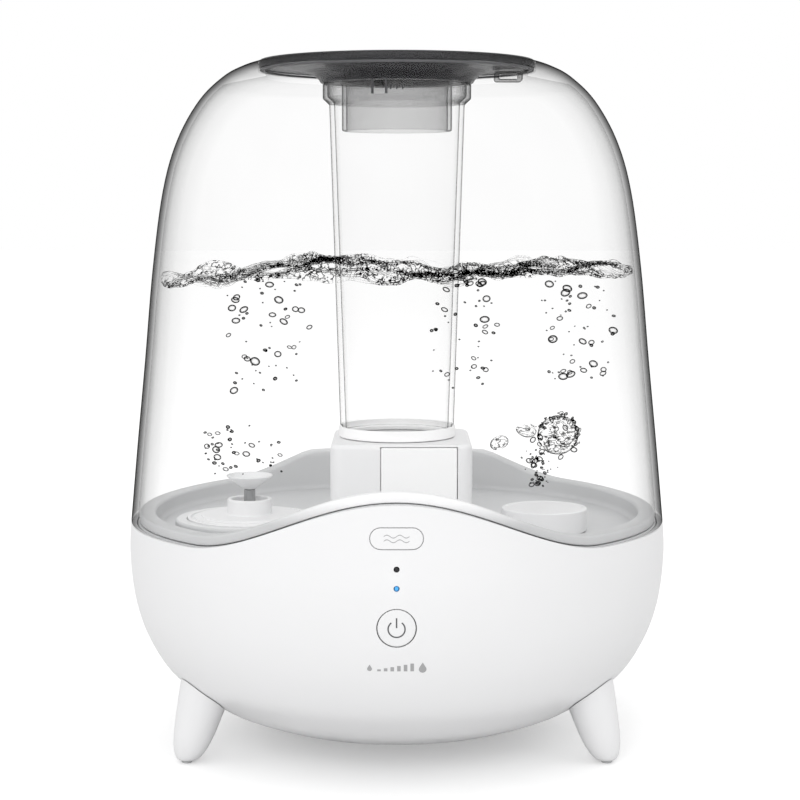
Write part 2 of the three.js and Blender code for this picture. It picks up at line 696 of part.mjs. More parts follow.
function makeValveStem() {
  return turned([[0, 82.3], [7.4, 82.3], [7.4, 84], [2.5, 84], [2.5, 113.3], [0, 113.3]], 10)
    .translate(CAP.x, CAP.y, 0);
}

function makeValvePoppet() {
  return turned([
    [0, 113.65], [2.6, 113.65], [10.1, 119.3], [10.1, 119.8], [8.8, 119.8], [2.2, 115.4], [0, 115.2],
  ], 16).translate(CAP.x, CAP.y, 0);
}

// ---- Lid and nozzle ----
function makeTopLid() {
  return turned([
    [LID_BORE, 290], [33.4, 290], [34.4, 291.6], [36.6, 293.5], [40.4, 295.1], [46, 296],
    [LID_RADIUS, LID_EDGE_BOTTOM], [LID_RADIUS, LID_TOP - 0.8], [LID_RADIUS - 0.8, LID_TOP], [57, LID_TOP],
    [54, 298.5], [30, 297.3], [LID_BORE, 297.1],
  ]);
}

function makeLidSeal() {
  return turned([[57.8, 295.1], [60, 295.1], [60, 295.98], [57.8, 295.98]]);
}

// A small loop under the lid that catches the tank's inner ledge.
function makeLidClip() {
  const loop = roundedRectangle(42.6, 55, 290.6, 295.2, 1.4);
  const slot = roundedRectangle(44.6, 53, 291.8, 294, 0.8);
  return shaped(extrudedAlongY(loop, -3.5, 3.5, 2), [], [extrudedAlongY(slot, -6, 6, 1)]);
}

function makeNozzleCap() {
  const cap = turned([
    [0, 297.6], [22.6, 297.6], [22.6, 290.3], [24.6, 290.3], [24.6, 297.55], [28, 297.55], [28, 299],
    [26.8, 299.85], [0, 300],
  ], MEDIUM);
  const outlet = extruded(roundedRectangle(-13, 13, -12, -1, 5.4), 290, 305, 3);
  return shaped(cap, [], [outlet]);
}

function makeNozzleSkirt() {
  return turned([[22.4, 269.2], [24.2, 269.2], [24.2, 289.9], [22.4, 289.9]], 24);
}

// ---- Assembly ----
const humidifier = new THREE.Group();

function place(name, geometry, material) {
  const solid = closed(geometry);
  solid.computeVertexNormals();
  const mesh = new THREE.Mesh(solid, material);
  mesh.name = name;
  humidifier.add(mesh);
}

place('base_shell', makeBaseShell(), finish.white);
place('bottom_cover', makeBottomCover(), finish.white);
place('water_basin', makeWaterBasin(), finish.innerWhite);
place('transducer_well', makeTransducerWell(), finish.innerWhite);
place('air_tube', makeAirTube(), finish.innerWhite);
place('mist_chimney', makeMistChimney(), finish.innerWhite);
place('air_duct', makeAirDuct(), finish.innerWhite);
place('badge_plate', makeBadge(), finish.white);

for (const [side, degrees] of FEET) {
  const angle = THREE.MathUtils.degToRad(degrees);
  place(`foot_${side}`, makeFoot().rotateZ(angle), finish.white);
  place(`foot_pad_${side}`, makeFootPad().rotateZ(angle), finish.rubber);
  const footScrew = aimed(screw(3.2, 2, 1.3, 13).translate(0, 0, -3.1), FOOT_SCREW_POINT, FOOT_SCREW_AXIS);
  place(`foot_screw_${side}`, footScrew.rotateZ(angle), finish.steel);
}
COVER_SCREW_ANGLES.forEach((degrees, i) => {
  const coverScrew = screw(2.9, 1.4, 1.3, 8).translate(0, -COVER_SCREW_RADIUS, 12.3);
  place(`cover_screw_${i + 1}`, coverScrew.rotateZ(THREE.MathUtils.degToRad(degrees)), finish.steel);
});

place('transducer_gasket', makeTransducerGasket(), finish.silicone);
place('transducer_disc', rod(10, 45.4, 46.6, 16).translate(WELL.x, 0, 0), finish.ceramic);
place('transducer_clamp', makeTransducerClamp(), finish.steel);
[-1, 1].forEach((side, i) => {
  const clampScrew = screw(2.8, 1.6, 1.2, 7.4).translate(WELL.x, side * 15.8, 40.7);
  place(`clamp_screw_${i + 1}`, clampScrew, finish.steel);
});

place('fan_frame', makeFanFrame(), finish.black);
place('fan_stator', makeFanStator(), finish.copper);
place('fan_impeller', makeFanImpeller(), finish.black);

place('driver_board', makeDriverBoard(), finish.board);
place('heat_sink', makeHeatSink(), finish.steel);
place('filter_capacitor', turned([[0, 21.95], [5, 21.95], [5, 33.4], [4.4, 34], [0, 34]], 12)
  .translate(40, 12, 0), finish.black);
place('control_board', box([-20, -105, 58], [20, -103.4, 84]), finish.board);
place('power_switch', makePowerSwitch(), finish.black);
place('power_button', makePowerButton(), finish.white);
place('status_lens', makeLens(STATUS_LENS_HEIGHT, -118.75, -113.4), finish.lamp);
place('light_sensor_lens', makeLens(SENSOR_LENS_HEIGHT, -118.2, -113.6), finish.black);
place('power_socket', makePowerSocket(), finish.black);
place('reed_board', box([FLOAT_POST.x - 10, FLOAT_POST.y - 4.5, 61],
  [FLOAT_POST.x + 10, FLOAT_POST.y + 4.5, 62.6]), finish.board);
place('reed_switch', new THREE.CylinderGeometry(1.2, 1.2, 9, 8).rotateZ(Math.PI / 2)
  .translate(FLOAT_POST.x, FLOAT_POST.y, 64.2), finish.clear);

// Leads inside the base, each along its own clear route.
const LEADS = {
  panel_lead: [[0, -102.2, 64], [0, -95, 57], [6, -72, 40], [16, -44, 27], [20, -30.5, 23.4]],
  socket_lead: [[0, 98.8, 54.5], [2, 90, 48], [12, 66, 34], [20, 42, 26], [22, 30.5, 23.4]],
  transducer_lead: [[11.5, 0, 44.6], [11.5, 0.5, 38], [13, 4, 31], [16, 9, 26], [17, 12, 23.2]],
};
for (const [name, route] of Object.entries(LEADS)) {
  const curve = new THREE.CatmullRomCurve3(route.map((point) => new THREE.Vector3(...point)));
  place(name, swept(curve, 1.1, 10, 5), finish.black);
}

place('float_ring', makeFloatRing(), finish.innerWhite);

place('tank_dome', makeTankDome(), finish.clear);
place('tank_pan', makeTankPan(), finish.pan);
place('tank_upstand', makeUpstand(), finish.pan);
place('upstand_panel', makeUpstandPanel(), finish.white);
place('tube_seat_ring', makeTubeSeatRing(), finish.silicone);
place('mist_tube', makeMistTube(), finish.clear);
place('filter_cartridge', makeFilterCartridge(), finish.white);

place('tank_cap', makeTankCap(), finish.innerWhite);
place('cap_gasket', makeCapGasket(), finish.silicone);
place('valve_spring', makeValveSpring(), finish.steel);
place('valve_stem', makeValveStem(), finish.grey);
place('valve_poppet', makeValvePoppet(), finish.silicone);

place('top_lid', makeTopLid(), finish.smoke);
place('lid_seal', makeLidSeal(), finish.silicone);
place('lid_clip', makeLidClip(), finish.grey);
place('nozzle_cap', makeNozzleCap(), finish.smoke);
place('nozzle_skirt', makeNozzleSkirt(), finish.grey);

export default humidifier;
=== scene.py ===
"""Looks of the cool mist humidifier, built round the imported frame. Lengths in the
tables below are millimetres in the row frame and become metres when a mesh is made."""
import json
import math
import random

import bmesh
import bpy
from mathutils import Matrix, Vector

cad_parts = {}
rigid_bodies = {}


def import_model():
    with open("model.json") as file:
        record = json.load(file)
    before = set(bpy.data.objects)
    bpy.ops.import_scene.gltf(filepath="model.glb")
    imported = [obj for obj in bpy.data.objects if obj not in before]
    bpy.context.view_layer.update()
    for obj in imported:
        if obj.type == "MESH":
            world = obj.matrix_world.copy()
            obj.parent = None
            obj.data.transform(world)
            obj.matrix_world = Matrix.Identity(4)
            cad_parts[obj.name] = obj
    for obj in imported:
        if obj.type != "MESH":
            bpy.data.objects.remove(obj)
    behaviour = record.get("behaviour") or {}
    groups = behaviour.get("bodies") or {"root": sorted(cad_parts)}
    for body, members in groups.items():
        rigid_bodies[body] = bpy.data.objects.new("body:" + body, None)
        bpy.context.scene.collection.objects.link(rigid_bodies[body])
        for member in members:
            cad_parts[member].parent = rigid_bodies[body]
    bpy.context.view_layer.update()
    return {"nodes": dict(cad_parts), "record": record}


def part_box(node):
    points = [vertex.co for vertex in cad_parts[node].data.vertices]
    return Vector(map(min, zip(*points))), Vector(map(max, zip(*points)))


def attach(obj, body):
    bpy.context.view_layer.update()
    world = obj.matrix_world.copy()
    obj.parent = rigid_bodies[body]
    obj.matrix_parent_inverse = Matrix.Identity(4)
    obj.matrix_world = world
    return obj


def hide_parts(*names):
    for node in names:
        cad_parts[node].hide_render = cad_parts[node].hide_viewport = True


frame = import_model()

MM = 0.001
TAU = 2 * math.pi
GAP = 0.35
SHELL_WALL = 2.6
DOME_WALL = 2.8
FINE = 144  # steps round the large turned pieces

BASE_OUTLINE = [
    (66, 11.6), (81.7, 18), (92.9, 25.8), (103.4, 34.8), (111.1, 47.4),
    (115.7, 59.9), (118, 72.5), (118.9, 85.6), (118.4, 97),
]
DOME_OUTLINE = [
    (118.4, 97), (115.3, 130), (111.3, 169.5), (107.4, 210), (102.6, 243.4),
    (96.2, 265), (86.6, 282), (76.2, 292.2), (68, 296.7), (61.4, 298.9),
]
WIDEST = 90  # the outline runs plain below this height and follows the wave above

# Wavy parting line between base and tank.
PARTING_HEIGHT = 98.4
WAVE_SWAY = 1.5
WAVE_CREST = 21.7
WAVE_HALF_ANGLE = math.radians(46.5)
WAVE_BACK_LIMIT = 12

COVER_SCREW_RADIUS = 61.5
COVER_SCREW_ANGLES = (60, 180, 300)
CAP_AXIS = (-64.4, -22.3)
CARTRIDGE_AXIS = (64.4, -22.3)
WELL_X = 11.5
AIR_X = -18.3
FLOAT_AXIS = (52, 32)
BUTTON_Z = 73.2
STATUS_LENS_Z = 89
SENSOR_LENS_Z = 96.5
BADGE_Z = 108.4
BADGE_REACH = 6.25  # half the straight part of the pill
PAN_UNDERSIDE = 93
PAN_FLOOR = 95.3
PAN_RADIUS = 107.3
PAN_SKIRT_RADIUS = 109.5
FLANGE_HEIGHT = 4.3
WATER_LEVEL = 209
FOOT_TIP_RADIUS = 103.6
FOOT_LEAN = 0.3
FOOT_PROFILE = [
    (3.4, 1.2), (5, 2.1), (6.5, 4.3), (7.9, 8), (9, 13), (9.9, 19), (11.1, 28), (12.4, 40),
]
FEET = {"left": -60, "right": 60, "back": 180}


# ---- Outline ----
def catmull(points, steps):
    """Points on a smooth curve through the given ones."""
    out = []
    last = len(points) - 1
    for i in range(last):
        p = [Vector(points[max(i - 1, 0)]), Vector(points[i]),
             Vector(points[i + 1]), Vector(points[min(i + 2, last)])]
        for k in range(steps):
            t = k / steps
            a = (p[2] - p[0]) / 2
            b = (p[3] - p[1]) / 2
            out.append((2 * p[1] - 2 * p[2] + a + b) * t ** 3
                       + (-3 * p[1] + 3 * p[2] - 2 * a - b) * t ** 2 + a * t + p[1])
    out.append(Vector(points[-1]))
    return [tuple(v) for v in out]


BASE_CURVE = catmull(BASE_OUTLINE, 20)
OUTLINE = BASE_CURVE + catmull(DOME_OUTLINE, 18)[1:]


def outer_radius(z):
    if z <= OUTLINE[0][1]:
        return OUTLINE[0][0]
    for (r0, z0), (r1, z1) in zip(OUTLINE, OUTLINE[1:]):
        if z1 >= z:
            return r0 + (r1 - r0) * (z - z0) / (z1 - z0)
    return OUTLINE[-1][0]


def inside_outline(z, distance):
    slope = outer_radius(z + 0.5) - outer_radius(z - 0.5)
    length = math.hypot(1, slope)
    return (outer_radius(z) - distance / length, z + distance * slope / length)


def rim_height(angle):
    """Height of the wavy parting line. Angle 0 is the front."""
    turn = abs(math.atan2(math.sin(angle), math.cos(angle)))
    front = turn < math.pi / 2
    turn = turn if front else math.pi - turn
    inside = turn < WAVE_HALF_ANGLE
    crest = (1 + math.cos(math.pi * turn / WAVE_HALF_ANGLE)) / 2 if inside else 0
    rise = WAVE_SWAY * math.cos(angle) ** 2 + WAVE_CREST * crest
    return PARTING_HEIGHT + (rise if front else min(rise, WAVE_BACK_LIMIT))


# ---- Mesh helpers ----
def unit2(x, z):
    length = math.hypot(x, z) or 1
    return x / length, z / length


def filleted(points, closed=True, steps=4):
    """Rounds each corner that has a third value, its radius."""
    out = []
    count = len(points)
    for i, point in enumerate(points):
        x, z = point[:2]
        radius = point[2] if len(point) > 2 else 0
        if not radius or (not closed and i in (0, count - 1)):
            out.append((x, z))
            continue
        a, b = points[i - 1], points[(i + 1) % count]
        u = unit2(a[0] - x, a[1] - z)
        v = unit2(b[0] - x, b[1] - z)
        half = math.acos(max(-1, min(1, u[0] * v[0] + u[1] * v[1]))) / 2
        reach = min(radius / math.tan(half),
                    0.45 * math.hypot(a[0] - x, a[1] - z), 0.45 * math.hypot(b[0] - x, b[1] - z))
        radius = reach * math.tan(half)
        m = unit2(u[0] + v[0], u[1] + v[1])
        cx, cz = x + m[0] * radius / math.sin(half), z + m[1] * radius / math.sin(half)
        start = math.atan2(z + u[1] * reach - cz, x + u[0] * reach - cx)
        end = math.atan2(z + v[1] * reach - cz, x + v[0] * reach - cx)
        sweep = math.atan2(math.sin(end - start), math.cos(end - start))
        for k in range(steps + 1):
            t = start + sweep * k / steps
            out.append((cx + radius * math.cos(t), cz + radius * math.sin(t)))
    return out


def make_object(name, verts, faces, slots=None):
    """A mesh object from millimetres, with doubles merged and faces outwards."""
    mesh = bpy.data.meshes.new(name)
    mesh.from_pydata([(x * MM, y * MM, z * MM) for x, y, z in verts], [], faces)
    if slots:
        mesh.polygons.foreach_set("material_index", slots)
    work = bmesh.new()
    work.from_mesh(mesh)
    bmesh.ops.remove_doubles(work, verts=work.verts, dist=2e-6)
    bmesh.ops.dissolve_degenerate(work, edges=work.edges, dist=1e-7)
    bmesh.ops.recalc_face_normals(work, faces=work.faces)
    work.to_mesh(mesh)
    work.free()
    ob = bpy.data.objects.new(name, mesh)
    bpy.context.scene.collection.objects.link(ob)
    return ob


def stacked(name, loops, closed=True, caps=True, slot_of=None):
    """Skins a list of loops that have the same number of points."""
    verts = [p for loop in loops for p in loop]
    n = len(loops[0])
    faces, slots = [], []
    for i in range(len(loops) - 1):
        for j in range(n if closed else n - 1):
            k = (j + 1) % n
            faces.append((i * n + j, i * n + k, (i + 1) * n + k, (i + 1) * n + j))
            slots.append(slot_of(i) if slot_of else 0)
    if caps:
        faces.append(tuple(range(n - 1, -1, -1)))
        faces.append(tuple(range((len(loops) - 1) * n, len(loops) * n)))
        slots += [0, 0]
    return make_object(name, verts, faces, slots)


def turned(name, profile, centre=(0, 0), steps=FINE, slot_of=None):
    """Turns a profile about the vertical. profile is a list, or a function of the angle.
    One that starts off the axis is a closed ring."""
    at = profile if callable(profile) else (lambda angle: profile)
    ring = at(0)[0][0] > 0
    columns = []
    for i in range(steps):
        angle = TAU * i / steps
        line = filleted(at(angle), closed=ring)
        if ring:
            line.append(line[0])
        columns.append([(centre[0] + r * math.sin(angle), centre[1] - r * math.cos(angle), z)
                        for r, z in line])
    loops = [[column[j] for column in columns] for j in range(len(columns[0]))]
    return stacked(name, loops, caps=False, slot_of=slot_of)


def rod(radius, bottom, top, x=0, y=0, steps=32):
    return turned("cutter", [(0, bottom), (radius, bottom), (radius, top), (0, top)], (x, y), steps)


def rod_y(radius, front, back, x, z, steps=48):
    loops = [[(x + radius * math.cos(TAU * i / steps), y, z + radius * math.sin(TAU * i / steps))
              for i in range(steps)] for y in (front, back)]
    return stacked("cutter", loops)


def block(low, high, bevel=0, name="cutter"):
    loops = [[(low[0], low[1], z), (high[0], low[1], z), (high[0], high[1], z), (low[0], high[1], z)]
             for z in (low[2], high[2])]
    ob = stacked(name, loops)
    if bevel:
        work = bmesh.new()
        work.from_mesh(ob.data)
        bmesh.ops.bevel(work, geom=work.edges, offset=bevel * MM, segments=3, profile=0.5,
                        affect="EDGES")
        work.to_mesh(ob.data)
        work.free()
    return ob


def rounded_loop(left, right, front, back, corner, z, steps=8):
    loop = []
    for cx, cy, start in ((right - corner, front + corner, -90), (right - corner, back - corner, 0),
                          (left + corner, back - corner, 90), (left + corner, front + corner, 180)):
        for k in range(steps + 1):
            t = math.radians(start + 90 * k / steps)
            loop.append((cx + corner * math.cos(t), cy + corner * math.sin(t), z))
    return loop


def tower(name, box, corner, levels):
    """A rounded rectangle raised through levels of (inset, height)."""
    left, right, front, back = box
    return stacked(name, [rounded_loop(left + d, right - d, front + d, back - d, max(corner - d, 0.3), z)
                          for d, z in levels])


def turn_z(ob, degrees):
    ob.data.transform(Matrix.Rotation(math.radians(degrees), 4, "Z"))
    return ob


def combine(ob, tools, operation):
    """Applies a boolean with all tools at once, and removes them."""
    if not tools:
        return ob
    group = bpy.data.collections.new("tools")
    for tool in tools:
        bpy.context.scene.collection.objects.unlink(tool)
        group.objects.link(tool)
    bpy.context.scene.collection.children.link(group)
    step = ob.modifiers.new("step", "BOOLEAN")
    step.operation = operation
    step.solver = "EXACT"
    step.operand_type = "COLLECTION"
    step.collection = group
    view = bpy.context.evaluated_depsgraph_get()
    result = bpy.data.meshes.new_from_object(ob.evaluated_get(view), depsgraph=view)
    ob.modifiers.clear()
    old = ob.data
    ob.data = result
    bpy.data.meshes.remove(old)
    for tool in list(group.objects):
        mesh = tool.data
        bpy.data.objects.remove(tool)
        bpy.data.meshes.remove(mesh)
    bpy.data.collections.remove(group)
    return ob


def join(ob, *tools):
    return combine(ob, list(tools), "UNION")


def cut(ob, *tools):
    return combine(ob, list(tools), "DIFFERENCE")


def piece(ob, name, body, nodes, slot, *materials, sharp=38):
    """Names, shades and paints an object, and hangs it on its body."""
    ob.name = ob.data.name = name
    for material in materials:
        ob.data.materials.append(material)
    ob.data.polygons.foreach_set("use_smooth", [True] * len(ob.data.polygons))
    ob.data.set_sharp_from_angle(angle=math.radians(sharp))
    normals = ob.modifiers.new("normals", "WEIGHTED_NORMAL")
    normals.keep_sharp = True
    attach(ob, body)
    if nodes:
        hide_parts(*nodes)
    return ob


# ---- Materials ----
RIPPLE_SCALE = 70  # slow unevenness of the clear mouldings
RIPPLE_DEPTH = 0.00001


class Paint:
    """A node material under construction."""

    def __init__(self, name):
        self.material = bpy.data.materials.new(name)
        self.material.use_nodes = True
        self.tree = self.material.node_tree
        self.tree.nodes.clear()

    def add(self, kind, settings=None, **inputs):
        node = self.tree.nodes.new("ShaderNode" + kind)
        for key, value in (settings or {}).items():
            setattr(node, key, value)
        for key, value in inputs.items():
            self.feed(node.inputs[key.replace("_", " ")], value)
        return node

    def feed(self, socket, value):
        if isinstance(value, bpy.types.NodeSocket):
            self.tree.links.new(value, socket)
        elif socket.type == "RGBA" and len(value) == 3:
            socket.default_value = (*value, 1)
        else:
            socket.default_value = value

    def place(self):
        return self.add("TexCoord").outputs["Object"]

    def noise(self, scale, detail=3, stretch=None):
        where = self.place()
        if stretch:
            where = self.add("Mapping", Vector=where, Scale=stretch).outputs["Vector"]
        return self.add("TexNoise", Vector=where, Scale=scale, Detail=detail).outputs["Fac"]

    def span(self, value, low, high, start=0.0, end=1.0):
        node = self.add("MapRange")
        for key, number in zip(("Value", "From Min", "From Max", "To Min", "To Max"),
                               (value, start, end, low, high)):
            self.feed(node.inputs[key], number)
        return node.outputs["Result"]

    def ramp(self, value, stops):
        node = self.add("ValToRGB", Fac=value)
        steps = node.color_ramp.elements
        while len(steps) < len(stops):
            steps.new(0.5)
        for step, (at, tone) in zip(steps, stops):
            step.position = at
            step.color = (tone, tone, tone, 1) if isinstance(tone, (int, float)) else (*tone, 1)
        return node.outputs["Color"]

    def blend(self, factor, a, b):
        node = self.add("MixRGB")
        for key, value in zip(("Fac", "Color1", "Color2"), (factor, a, b)):
            self.feed(node.inputs[key], value)
        return node.outputs["Color"]

    def mix(self, factor, a, b):
        node = self.add("MixShader")
        self.feed(node.inputs[0], factor)
        self.tree.links.new(a, node.inputs[1])
        self.tree.links.new(b, node.inputs[2])
        return node.outputs[0]

    def done(self, shader):
        out = self.add("OutputMaterial")
        self.tree.links.new(shader, out.inputs["Surface"])
        return self.material


def moulded(name, colour, roughness, mottle=0.03, grain=1800, relief=0.00001, edge_wear_and_highlight=0.05,
            metallic=0.0, coat=0.0, brushed=None, painted_light_heights=None):
    """A solid finish: slow colour drift, uneven gloss, fine surface grain, and lighter edges, which are
    worn edges for a small wear value and painted edge highlights for a large one.
    Two heights can be given between which the colour turns white: painted light that makes the upper part
    read lighter."""
    p = Paint(name)
    drift = p.span(p.noise(16, 4), 1 - mottle, 1 + mottle * 0.3, 0.3, 0.7)
    tone = p.add("VectorMath", {"operation": "SCALE"})
    p.feed(tone.inputs[0], colour)
    p.feed(tone.inputs["Scale"], drift)
    # Lighter edges: worn edges with a small wear value, painted edge highlights with a large one.
    edge = p.span(p.add("NewGeometry").outputs["Pointiness"], 0.0, edge_wear_and_highlight, 0.52, 0.62)
    base = p.blend(edge, tone.outputs[0], tuple(min(1, c * 1.25 + 0.04) for c in colour))
    # Painted light: between the given heights the colour turns white, so upper parts read lighter.
    if painted_light_heights:
        height = p.add("SeparateXYZ", Vector=p.place()).outputs["Z"]
        base = p.blend(p.span(height, 0, 1, *painted_light_heights), base, (0.95, 0.95, 0.955))
    gloss = p.span(p.noise(55, 5, brushed), roughness * 0.82, roughness * 1.2, 0.3, 0.7)
    height = p.noise(grain, 2, brushed)
    bump = p.add("Bump", Height=height, Strength=0.5, Distance=relief)
    shader = p.add("BsdfPrincipled", Base_Color=base, Roughness=gloss, Metallic=metallic,
                   Normal=bump.outputs["Normal"])
    shader.inputs["Coat Weight"].default_value = coat
    return p.done(shader.outputs[0])


def clear(name, edge, gloss=(0.02, 0.1), colour=(0.05, 0.05, 0.055), roughness=0.03, body=0.0):
    """A clear finish whose rim darkens with the angle: edge lists (facing, share let through).
    body is the share of solid colour in it."""
    p = Paint(name)
    bump = p.add("Bump", Height=p.noise(RIPPLE_SCALE, 2), Strength=0.6, Distance=RIPPLE_DEPTH)
    facing = p.add("LayerWeight", Blend=0.5, Normal=bump.outputs["Normal"]).outputs["Facing"]
    let_through = p.ramp(facing, edge)
    haze = p.span(p.noise(22, 3), 0.994, 1.0, 0.35, 0.65)
    tint = p.add("VectorMath", {"operation": "SCALE"})
    p.feed(tint.inputs[0], let_through)
    p.feed(tint.inputs["Scale"], haze)
    window = p.add("BsdfTransparent", Color=tint.outputs[0])
    shine = p.add("BsdfGlossy", Color=(1, 1, 1), Roughness=roughness,
                  Normal=bump.outputs["Normal"])
    amount = p.span(facing, gloss[0], gloss[1], 0.2, 1.0)
    surface = p.mix(amount, window.outputs[0], shine.outputs[0])
    if body:
        solid = p.add("BsdfPrincipled", Base_Color=colour, Roughness=roughness + 0.05)
        solid.inputs["Specular IOR Level"].default_value = 0.12
        share = p.span(facing, body, min(1, body * 1.6), 0.3, 1.0)
        surface = p.mix(share, surface, solid.outputs[0])
    return p.done(surface)


white = moulded("white_shell", (0.83, 0.83, 0.836), 0.34, mottle=0.012, coat=0.12)
white_part = moulded("white_part", (0.84, 0.84, 0.85), 0.42, mottle=0.015)
window_white = moulded("window_white", (0.99, 0.99, 0.99), 0.4, mottle=0.01)
basin_white = moulded("basin_white", (0.74, 0.745, 0.75), 0.45, mottle=0.02)
# Painted highlights along the pan's edges come from its large wear value.
pan_grey = moulded("pan_grey", (0.62, 0.625, 0.63), 0.4, mottle=0.03, edge_wear_and_highlight=0.7,
                   # painted light: the pan turns white between 111 and 121 mm high, so its top reads
                   # lighter
                   painted_light_heights=(0.111, 0.121))
# Painted light: a lighter copy of the pan grey for the upstand, whose front is the same grey moulding in
# stronger light.
pan_grey_painted_lit = moulded("pan_grey_painted_lit", (0.88, 0.88, 0.885), 0.42, mottle=0.02)
# Painted highlights along the cap and cartridge edges come from this large wear value.
cap_white = moulded("cap_white", (0.84, 0.84, 0.845), 0.4, mottle=0.02, edge_wear_and_highlight=0.8)
grey = moulded("grey_plastic", (0.33, 0.335, 0.34), 0.4)
silicone = moulded("silicone", (0.86, 0.865, 0.87), 0.6, grain=900)
rubber = moulded("foot_rubber", (0.55, 0.555, 0.56), 0.85, grain=700, relief=0.00004)
ink = moulded("grey_ink", (0.10, 0.10, 0.105), 0.6, mottle=0.06)
pale_ink = moulded("pale_ink", (0.38, 0.38, 0.385), 0.6, mottle=0.06)
seal_grey = moulded("seal_grey", (0.10, 0.10, 0.105), 0.6, grain=900)
black = moulded("black_plastic", (0.02, 0.02, 0.022), 0.45, grain=900, relief=0.00002)
steel = moulded("steel", (0.58, 0.59, 0.60), 0.32, metallic=1.0, brushed=(1, 1, 12))
aluminium = moulded("aluminium", (0.70, 0.71, 0.72), 0.38, metallic=1.0, brushed=(1, 10, 1))
copper = moulded("copper", (0.60, 0.27, 0.13), 0.35, metallic=1.0, brushed=(1, 1, 30))
ceramic = moulded("ceramic", (0.66, 0.60, 0.44), 0.4, metallic=0.8)
board = moulded("circuit_board", (0.03, 0.17, 0.07), 0.4, mottle=0.3, grain=400, relief=0.00003)
reed_glass = clear("reed_glass", [(0, 0.9), (0.6, 0.7), (1, 0.3)], body=0.1,
                   colour=(0.3, 0.5, 0.4))


def status_lamp():
    p = Paint("status_lamp")
    blue = p.blend(p.noise(900), (0.05, 0.30, 0.62), (0.07, 0.36, 0.70))
    return p.done(p.add("BsdfPrincipled", Base_Color=blue, Roughness=0.25,
                        Emission_Color=(0.08, 0.42, 0.85), Emission_Strength=0.35).outputs[0])


lamp = status_lamp()
dome_outside = clear("dome_outside", [(0, 1.0), (0.45, 0.995), (0.58, 0.965), (0.7, 0.87), (0.78, 0.68),
                                      (0.84, 0.46), (0.9, 0.3), (0.935, 0.04), (1, 0.0)],
                     gloss=(0.0, 0.03))
dome_inside = clear("dome_inside", [(0, 1.0), (0.5, 0.995), (0.75, 0.95), (1, 0.84)], gloss=(0.0, 0.01))
tube_clear = clear("tube_clear", [(0, 0.997), (0.6, 0.99), (0.78, 0.93), (0.9, 0.5), (1, 0.04)],
                   gloss=(0.0, 0.05))
collar_clear = clear("collar_clear", [(0, 0.93), (0.45, 0.9), (0.75, 0.6), (0.88, 0.14), (1, 0.02)],
                     colour=(0.4, 0.4, 0.41), body=0.02)
skirt_clear = clear("skirt_clear", [(0, 0.9), (0.4, 0.87), (0.72, 0.8), (0.88, 0.3), (1, 0.05)],
                    colour=(0.4, 0.4, 0.41), body=0.02)
clip_clear = clear("clip_clear", [(0, 0.66), (0.3, 0.5), (0.5, 0.12), (1, 0.0)], gloss=(0.02, 0.3))
smoke = clear("smoke", [(0, 0.85), (0.3, 0.6), (0.6, 0.22), (1, 0.01)], gloss=(0.0, 0.05), body=0.55,
              colour=(0.06, 0.06, 0.064), roughness=0.2)


def water_skin():
    """Clear water with thin dark lines where ripples bend the light."""
    p = Paint("water")
    facing = p.add("LayerWeight", Blend=0.5).outputs["Facing"]
    slope = p.ramp(facing,
                   [(0, 1.0), (0.84, 1.0), (0.92, 0.85), (0.955, 0.45), (0.975, 0.12), (1, 0.0)])
    curls = p.ramp(p.noise(270, 2, (1, 0.07, 1)), [(0.40, 1.0), (0.425, 0.0), (0.445, 0.0), (0.47, 1.0),
                                                   (0.54, 1.0), (0.56, 0.0), (0.575, 0.0), (0.60, 1.0)])
    patches = p.ramp(p.noise(24, 1), [(0.40, 0.0), (0.5, 1.0)])
    grazing = p.span(facing, 0.1, 1.0, 0.55, 0.8)
    strokes = p.blend(grazing, (1, 1, 1), p.blend(patches, (1, 1, 1), curls))
    both = p.add("MixRGB", {"blend_type": "MULTIPLY"}, Fac=1.0, Color1=slope, Color2=strokes)
    return p.done(p.add("BsdfTransparent", Color=both.outputs["Color"]).outputs[0])


water = water_skin()


def bubble(name, edge, streaks=False):
    """Air in water: a dark rim, with painted shade that makes it heavier towards the lower right, so it
    reads as an arc.
    """
    p = Paint(name)
    rim = p.ramp(p.add("LayerWeight", Blend=0.5).outputs["Facing"], edge)
    # Painted shade: the rim stays full where the normal points right and down and thins on the other side.
    painted_shade_lean = p.add("VectorMath", {"operation": "DOT_PRODUCT"})
    p.tree.links.new(p.add("NewGeometry").outputs["Normal"], painted_shade_lean.inputs[0])
    painted_shade_lean.inputs[1].default_value = (0.62, 0, -0.78)
    side = p.span(painted_shade_lean.outputs["Value"], 0.25, 1.0, -0.6, 0.2)
    let_through = p.blend(side, (1, 1, 1), rim)
    if streaks:
        strokes = p.ramp(p.noise(170, 2, (1, 1, 1.8)), [(0.40, 1.0), (0.43, 0.0), (0.47, 1.0), (0.53, 1.0),
                                                       (0.56, 0.0), (0.60, 1.0)])
        broken = p.ramp(p.noise(150, 1), [(0.47, 0.0), (0.52, 1.0)])
        let_through = p.blend(broken, (1, 1, 1), p.blend(strokes, (0.04, 0.04, 0.04), let_through))
    return p.done(p.add("BsdfTransparent", Color=let_through).outputs[0])


air_bubble = bubble("air_bubble", [(0, 1.0), (0.16, 0.92), (0.3, 0.35), (0.46, 0.02), (1, 0.0)])
small_bubble = bubble("small_bubble", [(0, 0.5), (0.12, 0.15), (0.3, 0.01), (1, 0.0)])
large_bubble = bubble("large_bubble", [(0, 1.0), (0.55, 0.95), (0.72, 0.4), (0.84, 0.02), (1, 0.0)], True)

